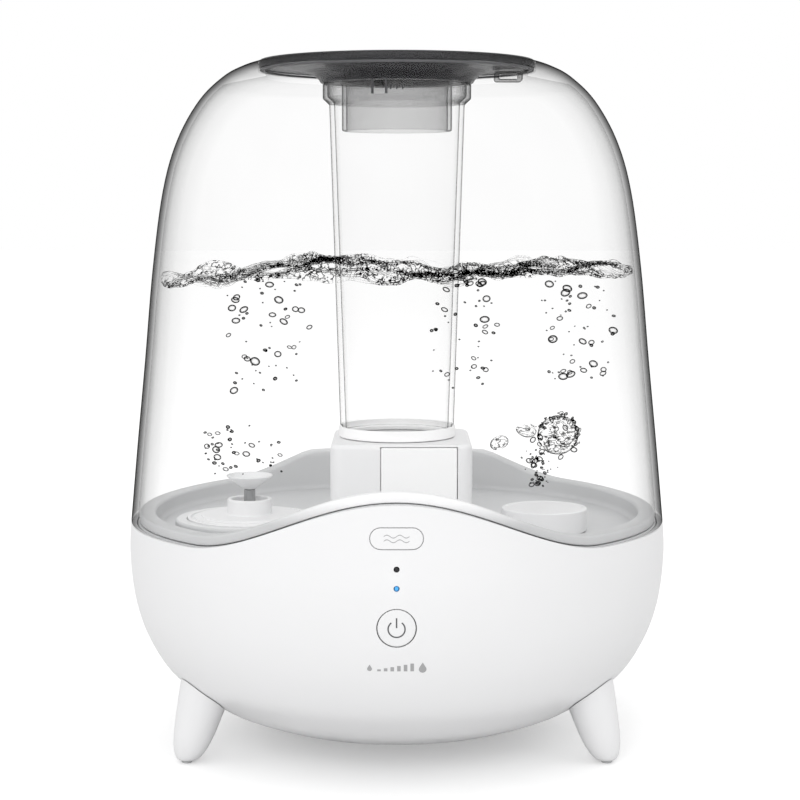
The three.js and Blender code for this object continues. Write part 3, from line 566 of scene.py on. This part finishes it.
SLOT_PAINT = {
    "shell_white": white_part, "inner_white": basin_white, "pan_grey": pan_grey,
    "clear_tank": tube_clear, "smoke": smoke, "grey_plastic": grey, "silicone": silicone,
    "foot_rubber": rubber, "steel": steel, "aluminium": aluminium, "copper": copper,
    "ceramic": ceramic, "circuit_board": board, "black_plastic": black, "status_lamp": lamp,
    "reed_glass": reed_glass,
}
for part in frame["record"]["subparts"]:
    ob = frame["nodes"][part["node"]]
    ob.data.materials.clear()
    ob.data.materials.append(SLOT_PAINT[part["material_slot"]])


# ---- Base ----
def shell_profile(angle):
    top = rim_height(angle) - GAP
    edge = outer_radius(top)
    lower = [p for p in BASE_CURVE[::4] if p[1] < WIDEST]
    upper = [WIDEST + (top - 1.2 - WIDEST) * k / 6 for k in range(7)]
    return ([(57, 13.9, 0.4), (66, 13.9, 0.2), (66, 11.6, 0.4)] + lower[1:]
            + [(outer_radius(z), z) for z in upper]
            + [(edge, top, 0.7), (edge - SHELL_WALL, top, 0.7)]
            + [(outer_radius(z) - SHELL_WALL, z) for z in reversed(upper)]
            + [inside_outline(z, SHELL_WALL) for _, z in reversed(lower) if z > 17.5]
            + [(72, 16.4), (57, 16.4, 0.4)])


def surface_y(x, z, lift=0.0):
    """Y of the front of the base at x and z."""
    return -math.sqrt((outer_radius(z) + lift) ** 2 - x * x)


def pill_loop(reach, radius, height, steps=10):
    """Points round a pill with its straight half length, its end radius and centre height."""
    loop = []
    for side, start in ((1, -90), (-1, 90)):
        for k in range(steps + 1):
            t = math.radians(start + 180 * k / steps)
            loop.append((side * reach + radius * math.cos(t), height + radius * math.sin(t)))
        for k in range(1, 6):
            loop.append((side * reach * (1 - k / 3), height + side * radius))
    return loop


def pill_solid(name, reach, height, rings):
    """rings lists (end radius, lift over the surface)."""
    return stacked(name, [[(x, surface_y(x, z, lift), z) for x, z in pill_loop(reach, radius, height)]
                          for radius, lift in rings])


FOOT_SCREW_POINT = Vector((0, -92.5, 25.5)) * MM
FOOT_SCREW_AXIS = Vector((0, -0.6145, -0.789)).normalized()


def base_shell():
    shell = turned("shell", shell_profile)
    bosses = [turn_z(rod(3.8, 15.4, 22, 0, -COVER_SCREW_RADIUS, 24), degrees)
              for degrees in COVER_SCREW_ANGLES]
    for x in (-16, 16):
        for z in (63, 80):
            middle = -math.sqrt((outer_radius(z) - SHELL_WALL / 2) ** 2 - x * x)
            bosses.append(rod_y(2.4, middle, -105.4, x, z, 20))
    join(shell, *bosses)
    holes = [turn_z(rod(1.7, 12.9, 21, 0, -COVER_SCREW_RADIUS, 20), degrees)
             for degrees in COVER_SCREW_ANGLES]
    for degrees in FEET.values():
        hole = rod(2.1, -8, 8, steps=20)
        hole.data.transform(Matrix.Translation(FOOT_SCREW_POINT)
                            @ FOOT_SCREW_AXIS.to_track_quat("Z", "Y").to_matrix().to_4x4())
        holes.append(turn_z(hole, degrees))
    holes += [rod_y(7.9, -125, -108, 0, BUTTON_Z, 96),
              rod_y(1.2, -125, -112, 0, STATUS_LENS_Z, 32),
              rod_y(1.2, -125, -112.8, 0, SENSOR_LENS_Z, 32), block((-6.9, 100, 48.6), (6.9, 130, 60.4))]
    holes.append(stacked("cutter", [[(x, surface_y(x, z, lift), z)
                                     for x, z in pill_loop(BADGE_REACH, 4.4, BADGE_Z)]
                                    for lift in (-1.1, 4)]))
    return cut(shell, *holes)


piece(base_shell(), "base_shell_moulding", "base", ["base_shell"], "shell_white", white)


def bottom_cover():
    disc = turned("cover", [(0, 9.9), (51, 9.9), (65.6, 11.4, 0.6), (65.6, 13.6, 0.5), (0, 13.6)])
    posts = [rod(3, 12.6, 16.65, x, y, 20) for x, y in ((-15, -13), (-15, 29))]
    posts += [rod(3, 12.6, 19.65, x, y, 20) for x, y in ((4, -24), (4, 24), (44, -22), (44, 22))]
    join(disc, *posts)
    holes = []
    for degrees in COVER_SCREW_ANGLES:
        holes.append(turn_z(rod(1.7, 5, 20, 0, -COVER_SCREW_RADIUS, 20), degrees))
        holes.append(turn_z(rod(3.4, 5, 12.6, 0, -COVER_SCREW_RADIUS, 24), degrees))
    for i in range(5):
        y = -6 + 7 * i
        holes.append(tower("cutter", (-48, -16, y - 1.5, y + 1.5), 1.45, [(0, 5), (0, 20)]))
    return cut(disc, *holes)


piece(bottom_cover(), "bottom_cover_moulding", "base", ["bottom_cover"], "shell_white", white_part)


def foot(degrees):
    line = catmull(FOOT_PROFILE, 5)
    loops = []
    for r, z in line:
        loops.append([(r * math.cos(TAU * i / 48), -FOOT_TIP_RADIUS + FOOT_LEAN * z
                       + r * math.sin(TAU * i / 48), z) for i in range(48)])
    peg = stacked("foot", loops)
    lower = [p for p in BASE_CURVE[::4] if p[1] < WIDEST - 20]
    envelope = turned("cutter", [(0, 11.25)] + [inside_outline(max(z, 12.1), -GAP) for _, z in lower]
                      + [(0, lower[-1][1])])
    pilot = rod(1.7, -4, 12, steps=20)
    pilot.data.transform(Matrix.Translation(FOOT_SCREW_POINT)
                         @ FOOT_SCREW_AXIS.to_track_quat("Z", "Y").to_matrix().to_4x4())
    cut(peg, envelope)
    cut(peg, pilot)
    return turn_z(peg, degrees)


for side, degrees in FEET.items():
    piece(foot(degrees), f"foot_{side}_moulding", "base", [f"foot_{side}"], "shell_white", white)
    pad = turned("pad", [(0, 0), (2.1, 0, 0.15), (2.4, 0.35, 0.15), (2.4, 0.85, 0.1), (0, 0.85)],
                 (0, -FOOT_TIP_RADIUS), 40)
    piece(turn_z(pad, degrees), f"foot_pad_{side}_rubber", "base", [f"foot_pad_{side}"],
          "foot_rubber", rubber)


# ---- Front panel ----
def disc_loop(radius, z, lift=None, y=None, steps=64):
    loop = []
    for i in range(steps):
        x, up = radius * math.sin(TAU * i / steps), z + radius * math.cos(TAU * i / steps)
        loop.append((x, surface_y(x, up, lift) if y is None else y, up))
    return loop


button = stacked("button", [disc_loop(0.01, BUTTON_Z, 0.0)]
                 + [disc_loop(r, BUTTON_Z, lift) for r, lift in
                    ((2.5, 0), (4.6, 0), (6.2, 0), (6.95, -0.01), (7.25, -0.08), (7.42, -0.22),
                     (7.5, -0.45))]
                 + [disc_loop(r, BUTTON_Z, y=y) for r, y in
                    ((7.5, -113.2), (9.2, -113.2), (9.2, -112), (2.6, -112), (2.6, -110.9))])
piece(button, "power_button_moulding", "power_button", ["power_button"], "shell_white", white)


def inlay(name, shapes, lift, body, material, slot="shell_white"):
    """Thin raised marks that follow the front. shapes lists closed outlines of (x, z)."""
    verts, faces = [], []
    for shape in shapes:
        n, first = len(shape), len(verts)
        verts += [(x, surface_y(x, z, lift), z) for x, z in shape]
        verts += [(x, surface_y(x, z, -0.03), z) for x, z in shape]
        faces.append(tuple(range(first, first + n)))
        faces.append(tuple(range(first + 2 * n - 1, first + n - 1, -1)))
        faces += [(first + i, first + n + i, first + n + (i + 1) % n, first + (i + 1) % n)
                  for i in range(n)]
    return piece(make_object(name, verts, faces), name, body, [], slot, material)


def arc_shape(radius, width, start, end, cx, cz, steps=40):
    angles = [math.radians(start + (end - start) * k / steps) for k in range(steps + 1)]
    outer = [(cx + (radius + width / 2) * math.sin(t), cz + (radius + width / 2) * math.cos(t))
             for t in angles]
    inner = [(cx + (radius - width / 2) * math.sin(t), cz + (radius - width / 2) * math.cos(t))
             for t in reversed(angles)]
    return outer + inner


def bar_shape(left, right, bottom, top):
    return [(left, bottom), (right, bottom), (right, top), (left, top)]


def drop_shape(cx, bottom, height, steps=20):
    """A plain water drop, point up."""
    radius = height * 0.34
    shape = [(cx, bottom + height)]
    for k in range(steps + 1):
        t = math.radians(55 + 250 * k / steps)
        shape.append((cx + radius * math.sin(t), bottom + radius + radius * math.cos(t)))
    return shape


inlay("power_mark", [arc_shape(3.3, 0.55, 38, 322, 0, BUTTON_Z - 0.3),
                     bar_shape(-0.28, 0.28, BUTTON_Z + 0.2, BUTTON_Z + 4.2)],
      0.05, "power_button", ink)
level = [drop_shape(-10.6, 55.3, 2.8), drop_shape(10.2, 54.6, 4.4)]
level += [bar_shape(-7.6 + 2.6 * k, -6.2 + 2.6 * k, 55.3, 56.1 + 0.5 * k) for k in range(6)]
inlay("level_mark", level, 0.05, "base", pale_ink)

badge = pill_solid("badge", BADGE_REACH, BADGE_Z,
                   [(4.05, -0.75), (4.05, 0.02), (3.98, 0.14), (3.8, 0.2), (2.6, 0.2), (1.2, 0.2),
                    (0.01, 0.2)])
piece(badge, "badge_plate_moulding", "base", ["badge_plate"], "shell_white", white)
wave = []
for row in (-0.9, 0.9):
    upper = [(-5 + 10 * k / 40, BADGE_Z + row + 0.55 * math.sin(TAU * k / 20)) for k in range(41)]
    wave.append([(x, z + 0.16) for x, z in upper] + [(x, z - 0.16) for x, z in reversed(upper)])
inlay("badge_mark", wave, 0.24, "base", pale_ink)

for name, z, front, node, material, slot in (
        ("status_lamp_lens", STATUS_LENS_Z, -118.75, "status_lens", lamp, "status_lamp"),
        ("sensor_lens", SENSOR_LENS_Z, -118.2, "light_sensor_lens", black, "black_plastic")):
    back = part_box(node)[1].y / MM
    rings = [(0.01, front), (0.45, front + 0.03), (0.68, front + 0.12), (0.8, front + 0.3), (0.8, back)]
    lens = stacked(name, [disc_loop(r, z, y=y, steps=24) for r, y in rings])
    piece(lens, name, "base", [node], slot, material)


# ---- Basin and what stands in it ----
def basin_profile(angle):
    top = rim_height(angle) - 0.3
    lip = outer_radius(rim_height(angle)) - SHELL_WALL - GAP
    return [(0, 66), (99, 66, 2.5), (99, 86, 1.5), (112, 86, 2), (112, top - 2.3, 0.8),
            (lip, top - 2.3, 0.6), (lip, top, 0.6), (110, top, 0.8), (110, 88, 1.5), (97, 88, 1),
            (97, 68, 2), (0, 68)]


def water_basin():
    basin = turned("basin", basin_profile)
    stands = [rod(2.2, 67, 87, *FLOAT_AXIS, 24), rod(3, 67, 81.9, *CAP_AXIS, 24)]
    for side in (-1, 1):
        stands.append(rod(1.8, 62.9, 66.5, FLOAT_AXIS[0] + side * 7, FLOAT_AXIS[1], 16))
    join(basin, *stands)
    return cut(basin, rod(17, 63, 69, WELL_X, 0, 96), rod(8 + GAP, 63, 69, AIR_X, 0, 64))


piece(water_basin(), "water_basin_moulding", "base", ["water_basin"], "inner_white", basin_white)


def transducer_well():
    top = 65.65
    well = turned("well", [(8.5, 48, 0.3), (19, 48, 1.2), (19, top, 0.3), (17, top, 0.3), (17, 50, 1),
                           (8.5, 50, 0.3)], (WELL_X, 0), 96)
    joined, holes = [], []
    for side in (-1, 1):
        middle = side * 22.5
        joined.append(block((WELL_X - 4, middle - 4.5, top - 2.4), (WELL_X + 4, middle + 4.5, top), 0.3))
        joined.append(rod(2.9, 44.4, 48.5, WELL_X, side * 15.8, 24))
        holes.append(rod(1.6, 44, 48.6, WELL_X, side * 15.8, 20))
    join(well, *joined)
    return cut(well, *holes)


piece(transducer_well(), "transducer_well_moulding", "base", ["transducer_well"], "inner_white",
      basin_white)
piece(turned("air", [(6.2, 59.5, 0.3), (8, 59.5, 0.3), (8, 68.35), (8.9, 68.35, 0.2), (8.9, 69.8, 0.3),
                     (8, 69.8, 0.2), (8, 112, 0.6), (6.2, 112, 0.6)], (AIR_X, 0), 56),
      "air_tube_moulding", "base", ["air_tube"], "inner_white", basin_white)


def mist_chimney():
    chimney = turned("chimney", [(15.5, 68.3), (20.5, 68.3, 0.4), (20.5, 70.3, 0.6),
                                 (17.5, 70.3, 0.5), (17.5, 118, 0.7), (15.5, 118, 0.7)],
                     (WELL_X, 0), 72)
    slots = []
    for degrees in (0, 60, 120):
        slot = tower("cutter", (-25, 25, -3.5, 3.5), 0.4, [(0, 71.5), (0, 78)])
        turn_z(slot, degrees)
        slot.data.transform(Matrix.Translation((WELL_X * MM, 0, 0)))
        slots.append(slot)
    slots.append(block((WELL_X - 5, -25, 96), (WELL_X + 5, 25, 106)))
    return cut(chimney, *slots)


piece(mist_chimney(), "mist_chimney_moulding", "base", ["mist_chimney"], "inner_white",
      basin_white)

piece(turned("float", [(2.9, 69, 0.3), (9.5, 69, 1), (9.5, 77, 1), (2.9, 77, 0.5)], FLOAT_AXIS, 56),
      "float_ring_moulding", "float", ["float_ring"], "inner_white", white_part)


# ---- Tank ----
def dome_profile(angle):
    rim = rim_height(angle)
    outer = [p for p in catmull(DOME_OUTLINE, 6) if p[1] > 126]
    low = [rim + 0.8 + (122 - rim - 0.8) * k / 3 for k in range(4)] if rim < 120.4 else \
        [rim + 0.8 + (125 - rim - 0.8) * k / 3 for k in range(4)]
    inner = [inside_outline(z, DOME_WALL) for z in
             (290.5, 288, 284, 279, 272, 264, 254, 243, 230, 215, 195, 175, 155, 138, 128)]
    return ([(outer_radius(rim), rim, 0.5)] + [(outer_radius(z), z) for z in low] + outer
            + [(60.75, 298.9, 0.3), (60.75, 294.8, 0.3), (57.4, 294.8, 0.3), (57.4, 292.4, 0.6)]
            + inner + [(outer_radius(z) - DOME_WALL, z) for z in reversed(low)]
            + [(outer_radius(rim) - DOME_WALL, rim, 0.5)])


# The outer face takes the rim's fillet, the low and smooth rows, and most of the top edge's fillet.
outer_rows = 5 + 4 + len([p for p in catmull(DOME_OUTLINE, 6) if p[1] > 126]) + 4
dome = turned("dome", dome_profile, slot_of=lambda row: 0 if row < outer_rows else 1)
piece(dome, "tank_dome_moulding", "tank", ["tank_dome"], "clear_tank", dome_outside, dome_inside)


def pan_profile(angle):
    rim = rim_height(angle)
    top = rim + FLANGE_HEIGHT
    edge = outer_radius(top) - DOME_WALL - GAP
    return [(0, PAN_UNDERSIDE), (PAN_SKIRT_RADIUS, PAN_UNDERSIDE, 1),
            (PAN_SKIRT_RADIUS, rim + 0.1, 0.6), (edge, rim + 0.1, 0.5), (edge, top, 1.2),
            (PAN_RADIUS, top, 1.4), (PAN_RADIUS, PAN_FLOOR, 2.5), (0, PAN_FLOOR)]


UPSTAND = (-29, 32.8, -31, 31)
UPSTAND_WALL = 2.2


def upstand_box(margin):
    return (UPSTAND[0] - margin, UPSTAND[1] + margin, UPSTAND[2] - margin, UPSTAND[3] + margin)


def tank_pan():
    pan = turned("pan", pan_profile)
    neck = turned("neck", [(0, 88.6), (32.4, 88.6, 0.8), (32.4, 101.1, 1.2), (0, 101.1)], CAP_AXIS, 96)
    join(pan, neck)
    way_up = tower("cutter", upstand_box(GAP), 7 + GAP, [(0, 90), (0, 97)])
    return cut(pan, way_up, rod(29.4, 85, 99.5, *CAP_AXIS, 96), rod(27.5, 95, 105, *CAP_AXIS, 96))


piece(tank_pan(), "tank_pan_moulding", "tank", ["tank_pan"], "pan_grey", pan_grey)


def tank_upstand():
    stand = tower("stand", UPSTAND, 7, [(-2.2, 90.45), (-2.2, 92.65), (0, 92.65), (0, 131.6), (0.25, 132.7),
                                        (0.9, 133.6), (1.8, 134)])
    hollow = tower("cutter", upstand_box(-UPSTAND_WALL), 7 - UPSTAND_WALL, [(0, 89), (0, 131.8)])
    window = block((-7.25, -32, 97.15), (26.35, -27.8, 132.95))
    return cut(stand, hollow, rod(22.6, 129, 135, steps=96), window)


# The upstand takes the lighter copy of the pan grey, painted light for its front-lit faces.
piece(tank_upstand(), "tank_upstand_moulding", "tank", ["tank_upstand"], "pan_grey", pan_grey_painted_lit)

low, high = (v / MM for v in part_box("upstand_panel"))
piece(block(low, high, 0.5, "panel"), "upstand_panel_moulding", "tank", ["upstand_panel"],
      "shell_white", window_white)
piece(turned("seat", [(22.2, 134.35, 0.4), (26, 134.35, 0.6), (26, 139.1, 0.9), (24.9, 139.1, 0.4),
                      (24.9, 136.2, 0.3), (22.2, 136.2, 0.4)]),
      "tube_seat_ring_moulding", "tank", ["tube_seat_ring"], "silicone", window_white)

tube_profile = [(22.9, 136.6, 0.3), (24.5, 136.6, 0.3), (24.5, 139.5, 0.4), (25.4, 139.5, 0.3),
                (29.75, 280.6, 1.5), (32.6, 283.3, 1), (32.6, 289.6, 0.4), (30.6, 289.6, 0.4),
                (30.6, 284.2, 1), (27.7, 281.4, 1)]
tube = turned("tube", tube_profile, steps=96)
cut(tube, block((-10, -36, 283.6), (-4.4, -28, 292)))
tube = piece(tube, "mist_tube_moulding", "tank", ["mist_tube"], "clear_tank", tube_clear, collar_clear)
for face in tube.data.polygons:
    face.material_index = 1 if face.center.z / MM > 281 else 0

# Three ticks on the collar, then two dark bars at the notch's edges that are painted shade.
tick_and_shade_bars = []
for k in range(3):
    x = -2.6 + 2.5 * k
    y = -math.sqrt(32.6 ** 2 - x * x)
    tick_and_shade_bars.append(block((x - 0.3, y - 0.12, 285.6), (x + 0.3, y + 0.3, 287.2), 0.04))
# Painted shade: two dark bars along the cut edges of the notch, where those edges look dark.
for x, low, high in ((-10.4, 283.9, 290), (-4.5, 283.9, 290)):
    y = -math.sqrt(32.6 ** 2 - x * x)
    tick_and_shade_bars.append(block((x - 0.55, y - 0.1, low), (x + 0.55, y + 1.4, high), 0.08))
piece(join(tick_and_shade_bars[0], *tick_and_shade_bars[1:]), "collar_ticks_and_notch_shade", "tank", [], "grey_plastic", ink)

piece(turned("puck", [(0, 95.65), (18.6, 95.65, 0.6), (18.6, 105.5, 1), (17.2, 105.5, 0.2),
                      (16.8, 105.2, 0.2), (0, 105.2)], CARTRIDGE_AXIS, 96),
      "filter_cartridge_moulding", "tank", ["filter_cartridge"], "shell_white", cap_white)


# ---- Cap and valve ----
def tank_cap():
    body = turned("cap", [
        (2.9, 93, 0.2), (4.4, 93, 0.4), (4.4, 98.6, 0.5), (25.5, 98.6, 0.6), (25.5, 82.5, 0.5),
        (27.6, 82.5, 0.6), (27.6, 89, 0.4), (29, 89, 0.4), (29, 97.9, 0.4), (27.1, 97.9, 0.3),
        (27.1, 101.9, 0.5), (25.6, 101.9, 0.4), (25.6, 101.1, 0.3), (24.2, 101.1, 0.3),
        (24.2, 101.9, 0.3), (21.2, 101.9, 0.3), (21.2, 102.75, 0.5), (9.7, 102.75, 0.6),
        (9.7, 109.5, 0.6), (7.7, 109.5, 0.6), (7.7, 104.5, 0.6), (2.9, 104.5, 0.4)], (0, 0), 96)
    join(body, block((-25.8, -1.5, 83), (-9.5, 1.5, 92), 0.4), block((9.5, -1.5, 83), (25.8, 1.5, 92), 0.4))
    passages = [turn_z(rod(1.4, 97, 106, 6.05, 0, 20), d) for d in (45, 135, 225, 315)]
    cut(body, *passages)
    body.data.transform(Matrix.Translation((CAP_AXIS[0] * MM, CAP_AXIS[1] * MM, 0)))
    return body


piece(tank_cap(), "tank_cap_moulding", "tank_cap", ["tank_cap"], "inner_white", cap_white)
piece(turned("gasket", [(27.75, 98.2, 0.3), (29, 98.2, 0.3), (29, 99.2, 0.3), (27.75, 99.2, 0.3)],
             CAP_AXIS, 96), "cap_gasket_ring", "tank_cap", ["cap_gasket"], "silicone", silicone)
piece(turned("stem", [(0, 82.3), (7.4, 82.3, 0.5), (7.4, 84, 0.5), (2.5, 84, 0.8), (2.5, 113.3, 0.2),
                      (0, 113.3)], CAP_AXIS, 40),
      "valve_stem_moulding", "valve", ["valve_stem"], "grey_plastic", grey)
piece(turned("poppet", [(0, 113.65), (2.6, 113.65, 0.5), (10.1, 119.3, 0.3), (10.1, 119.8, 0.2),
                        (8.8, 119.8, 0.3), (2.2, 115.4, 1), (0, 115.2)], CAP_AXIS, 64),
      "valve_poppet_rubber", "valve", ["valve_poppet"], "silicone", silicone)


def valve_spring(turns=4, sides=12, steps=144):
    loops = []
    for i in range(steps + 1):
        t = i / steps
        angle = TAU * turns * t
        out = Vector((math.cos(angle), math.sin(angle), 0))
        centre = out * 6 + Vector((*CAP_AXIS, 85 + 12.6 * t))
        loops.append([tuple(centre + out * 0.5 * math.cos(TAU * k / sides)
                            + Vector((0, 0, 0.5 * math.sin(TAU * k / sides))))
                      for k in range(sides)])
    return stacked("spring", loops)


piece(valve_spring(), "valve_spring_wire", "tank_cap", ["valve_spring"], "steel", steel)


# ---- Lid and nozzle ----
piece(turned("lid", [(25, 290, 0.4), (33.4, 290, 0.5), (34.4, 291.6, 1), (36.6, 293.5, 2), (40.4, 295.1, 3),
                     (46, 296, 3), (60.3, 296.3, 0.5), (60.3, 299.8, 0.8), (57, 299.8, 0.8),
                     (54, 298.5, 1.5), (30, 297.3, 2), (25, 297.1, 0.3)]),
      "top_lid_moulding", "lid", ["top_lid"], "smoke", smoke)
piece(turned("seal", [(57.8, 295.1, 0.25), (60, 295.1, 0.25), (60, 295.98, 0.25), (57.8, 295.98, 0.25)]),
      "lid_seal_ring", "lid", ["lid_seal"], "silicone", seal_grey)


def lid_clip():
    loops = []
    for y, inset in ((-3.5, 0.35), (-3.15, 0), (3.15, 0), (3.5, 0.35)):
        outline = rounded_loop(42.6 + inset, 55 - inset, 290.6 + inset, 295.2 - inset, 1.4, 0)
        loops.append([(a, y, b) for a, b, _ in outline])
    clip = stacked("clip", loops)
    hole = stacked("cutter", [[(a, y, b) for a, b, _ in rounded_loop(44.6, 53, 291.8, 294, 0.8, 0)]
                              for y in (-6, 6)])
    return cut(clip, hole)


piece(lid_clip(), "lid_clip_moulding", "lid", ["lid_clip"], "grey_plastic", clip_clear)

nozzle = turned("nozzle", [(0, 297.6), (22.6, 297.6, 0.5), (22.6, 290.3, 0.4), (24.6, 290.3, 0.4),
                           (24.6, 297.55, 0.4), (28, 297.55, 0.3), (28, 299.4, 0.5), (26.8, 299.9, 0.8),
                           (0, 300)], steps=96)
cut(nozzle, tower("cutter", (-13, 13, -12, -1), 5.4, [(0, 290), (0, 305)]))
piece(nozzle, "nozzle_cap_moulding", "nozzle", ["nozzle_cap"], "smoke", smoke)
piece(turned("skirt", [(22.4, 269.2, 0.5), (24.2, 269.2, 0.8), (24.2, 289.9, 0.4), (22.4, 289.9, 0.4)],
             steps=96), "nozzle_skirt_moulding", "nozzle", ["nozzle_skirt"], "grey_plastic", skirt_clear)

socket = block((-6.4, 99.5, 49.1), (6.4, 112, 59.9), 0.5, "socket")
cut(socket, rod_y(3.4, 102, 114, 0, 54.5, 40))
join(socket, rod_y(0.9, 100.5, 111, 0, 54.5, 24))
piece(socket, "power_socket_block", "base", ["power_socket"], "black_plastic", black)


# ---- Water ----
dice = random.Random(11)
WAVES = [(dice.uniform(0, TAU), dice.uniform(*span), dice.uniform(0, TAU), dice.uniform(*size))
         for span, size, many in (((0.03, 0.07), (1.1, 1.9), 5), ((0.12, 0.26), (0.35, 0.7), 9),
                                  ((0.4, 0.8), (0.1, 0.2), 12)) for _ in range(many)]


def water_height(x, y):
    total = 0
    for heading, pace, phase, size in WAVES:
        total += size * math.sin(pace * (x * math.cos(heading) + 0.8 * y * math.sin(heading)) + phase)
    return WATER_LEVEL + total


def water_surface():
    outer = outer_radius(WATER_LEVEL + 4) - DOME_WALL - 0.5
    inner = 28.2
    rings, steps = 90, 420
    loops = []
    for i in range(rings + 1):
        r = inner + (outer - inner) * i / rings
        loop = []
        for k in range(steps):
            x, y = r * math.sin(TAU * k / steps), -r * math.cos(TAU * k / steps)
            loop.append((x, y, water_height(x, y)))
        loops.append(loop)
    under = [[(x, y, z - 0.8) for x, y, z in loop] for loop in reversed(loops)]
    return stacked("water", loops + under + [loops[0]], caps=False)


piece(water_surface(), "water_surface", "tank", [], "clear_tank", water, sharp=180)


def bubbles(name, spots):
    verts, faces, kinds = [], [], []
    work = bmesh.new()
    bmesh.ops.create_icosphere(work, subdivisions=3, radius=1)
    ball = [tuple(v.co) for v in work.verts]
    index = [[v.index for v in f.verts] for f in work.faces]
    work.free()
    for (x, y, z), (a, b), tilt in spots:
        first = len(verts)
        c, s = math.cos(tilt), math.sin(tilt)
        kinds += [1 if a < 1.1 else 2 if a > 3.5 else 0] * len(index)
        for u, v, w in ball:
            verts.append((x + a * u * c - b * w * s, y + a * v, z + a * u * s + b * w * c))
        faces += [[first + i for i in f] for f in index]
    return piece(make_object(name, verts, faces, kinds), name, "tank", [], "clear_tank", air_bubble,
                 small_bubble, large_bubble, sharp=180)


def clear_of_tube(x, y):
    return math.hypot(x, y) > 34


def cloud(count, x_span, y_span, z_span, sizes, pull=1.0):
    spots = []
    while len(spots) < count:
        x, y = dice.uniform(*x_span), dice.uniform(*y_span)
        z = z_span[0] + (z_span[1] - z_span[0]) * dice.random() ** pull
        size = sizes[0] + (sizes[1] - sizes[0]) * dice.random() ** 2.5
        if clear_of_tube(x, y) and math.hypot(x, y) < 98:
            spots.append(((x, y, z), (size, size * dice.uniform(0.6, 0.85)), dice.uniform(-0.5, 0.5)))
    return spots


rising = cloud(62, (-74, -38), (-45, -5), (158, 205), (0.4, 2.3))
rising += cloud(50, (14, 42), (-60, -36), (160, 205), (0.4, 2.2))
rising += cloud(64, (64, 96), (-40, 0), (158, 204), (0.4, 2.3))
bubbles("rising_bubbles", rising)
bubbles("valve_bubbles", cloud(52, (-84, -50), (-34, -10), (120, 141), (0.4, 2.0)))


def plume():
    """Air over the cartridge: three large bubbles, a crescent of small ones and a rising trail."""
    spots = [((70, -24, 137.5), (9, 8.6), 0.2), ((44.5, -24, 134), (4.2, 3), 0.4),
             ((56, -26, 140), (4.6, 3.2), -0.3)]
    for _ in range(54):
        turn, reach = dice.uniform(-0.7, 2.7), dice.uniform(7, 9.6)
        size = 0.35 + 1.1 * dice.random() ** 2
        at = (70 + reach * math.cos(turn), -24 + dice.gauss(0, 4), 137.5 + reach * math.sin(turn))
        spots.append((at, (size, size * 0.6), dice.uniform(-1.2, 1.2)))
    for _ in range(110):
        rise = dice.random()
        x = 60 + 8 * rise + dice.gauss(0, 2 + 4 * rise)
        size = 0.3 + 1.3 * dice.random() ** 3
        at = (x, -24 + dice.gauss(0, 5), 115 + 27 * rise)
        spots.append((at, (size, size * 0.75), dice.uniform(-1, 1)))
    return spots


bubbles("plume_bubbles", plume())


# ---- Studio ----
floor = make_object("floor", [(-6000, -4000, 0), (6000, -4000, 0), (6000, 9000, 0), (-6000, 9000, 0)],
                    [(0, 1, 2, 3)])


def floor_paper():
    """Pale paper that looks white to the camera but bounces light as paper does."""
    p = Paint("studio_floor")
    paper = p.blend(p.noise(3, 4), (0.79, 0.79, 0.79), (0.81, 0.81, 0.81))
    lift = p.add("MixShader", Fac=p.add("LightPath").outputs["Is Camera Ray"])
    matt = p.add("BsdfDiffuse", Color=paper)
    glow = p.add("Emission", Color=(1, 1, 1), Strength=0.32)
    both = p.add("AddShader")
    for link in ((matt.outputs[0], lift.inputs[1]), (both.outputs[0], lift.inputs[2]),
                 (matt.outputs[0], both.inputs[0]), (glow.outputs[0], both.inputs[1])):
        p.tree.links.new(*link)
    return p.done(lift.outputs[0])


floor.data.materials.append(floor_paper())

scene = bpy.context.scene
scene.view_settings.view_transform = "Standard"
scene.cycles.transparent_max_bounces = 48
world = bpy.data.worlds.new("studio")
scene.world = world
world.use_nodes = True
tree = world.node_tree
tree.nodes.clear()
seen = tree.nodes.new("ShaderNodeBackground")
seen.inputs["Color"].default_value = (1, 1, 1, 1)
seen.inputs["Strength"].default_value = 1.0
felt = tree.nodes.new("ShaderNodeBackground")
felt.inputs["Color"].default_value = (1, 1, 1, 1)
felt.inputs["Strength"].default_value = 0.88
rays = tree.nodes.new("ShaderNodeLightPath")
pick = tree.nodes.new("ShaderNodeMixShader")
out = tree.nodes.new("ShaderNodeOutputWorld")
tree.links.new(rays.outputs["Is Camera Ray"], pick.inputs[0])
tree.links.new(felt.outputs[0], pick.inputs[1])
tree.links.new(seen.outputs[0], pick.inputs[2])
tree.links.new(pick.outputs[0], out.inputs["Surface"])


def soft_light(name, at, aim, size, power):
    light = bpy.data.lights.new(name, "AREA")
    light.shape = "RECTANGLE"
    light.size, light.size_y = size
    light.energy = power
    ob = bpy.data.objects.new(name, light)
    ob.location = at
    ob.rotation_euler = (Vector(aim) - Vector(at)).to_track_quat("-Z", "Y").to_euler()
    ob.visible_glossy = False
    scene.collection.objects.link(ob)


soft_light("front_soft", (-0.3, -1.8, 0.9), (0, 0, 0.12), (0.9, 0.9), 9)
soft_light("top_soft", (0, -0.1, 1.7), (0, 0, 0), (2.2, 2.2), 6)

camera = bpy.data.objects.new("camera", bpy.data.cameras.new("camera"))
camera.data.sensor_width = 36
camera.data.lens = 84.6
camera.location = (0.00133, -0.8355, 0.2369)
camera.rotation_euler = (math.radians(90 - 5.92), 0, 0)
scene.collection.objects.link(camera)
scene.camera = camera
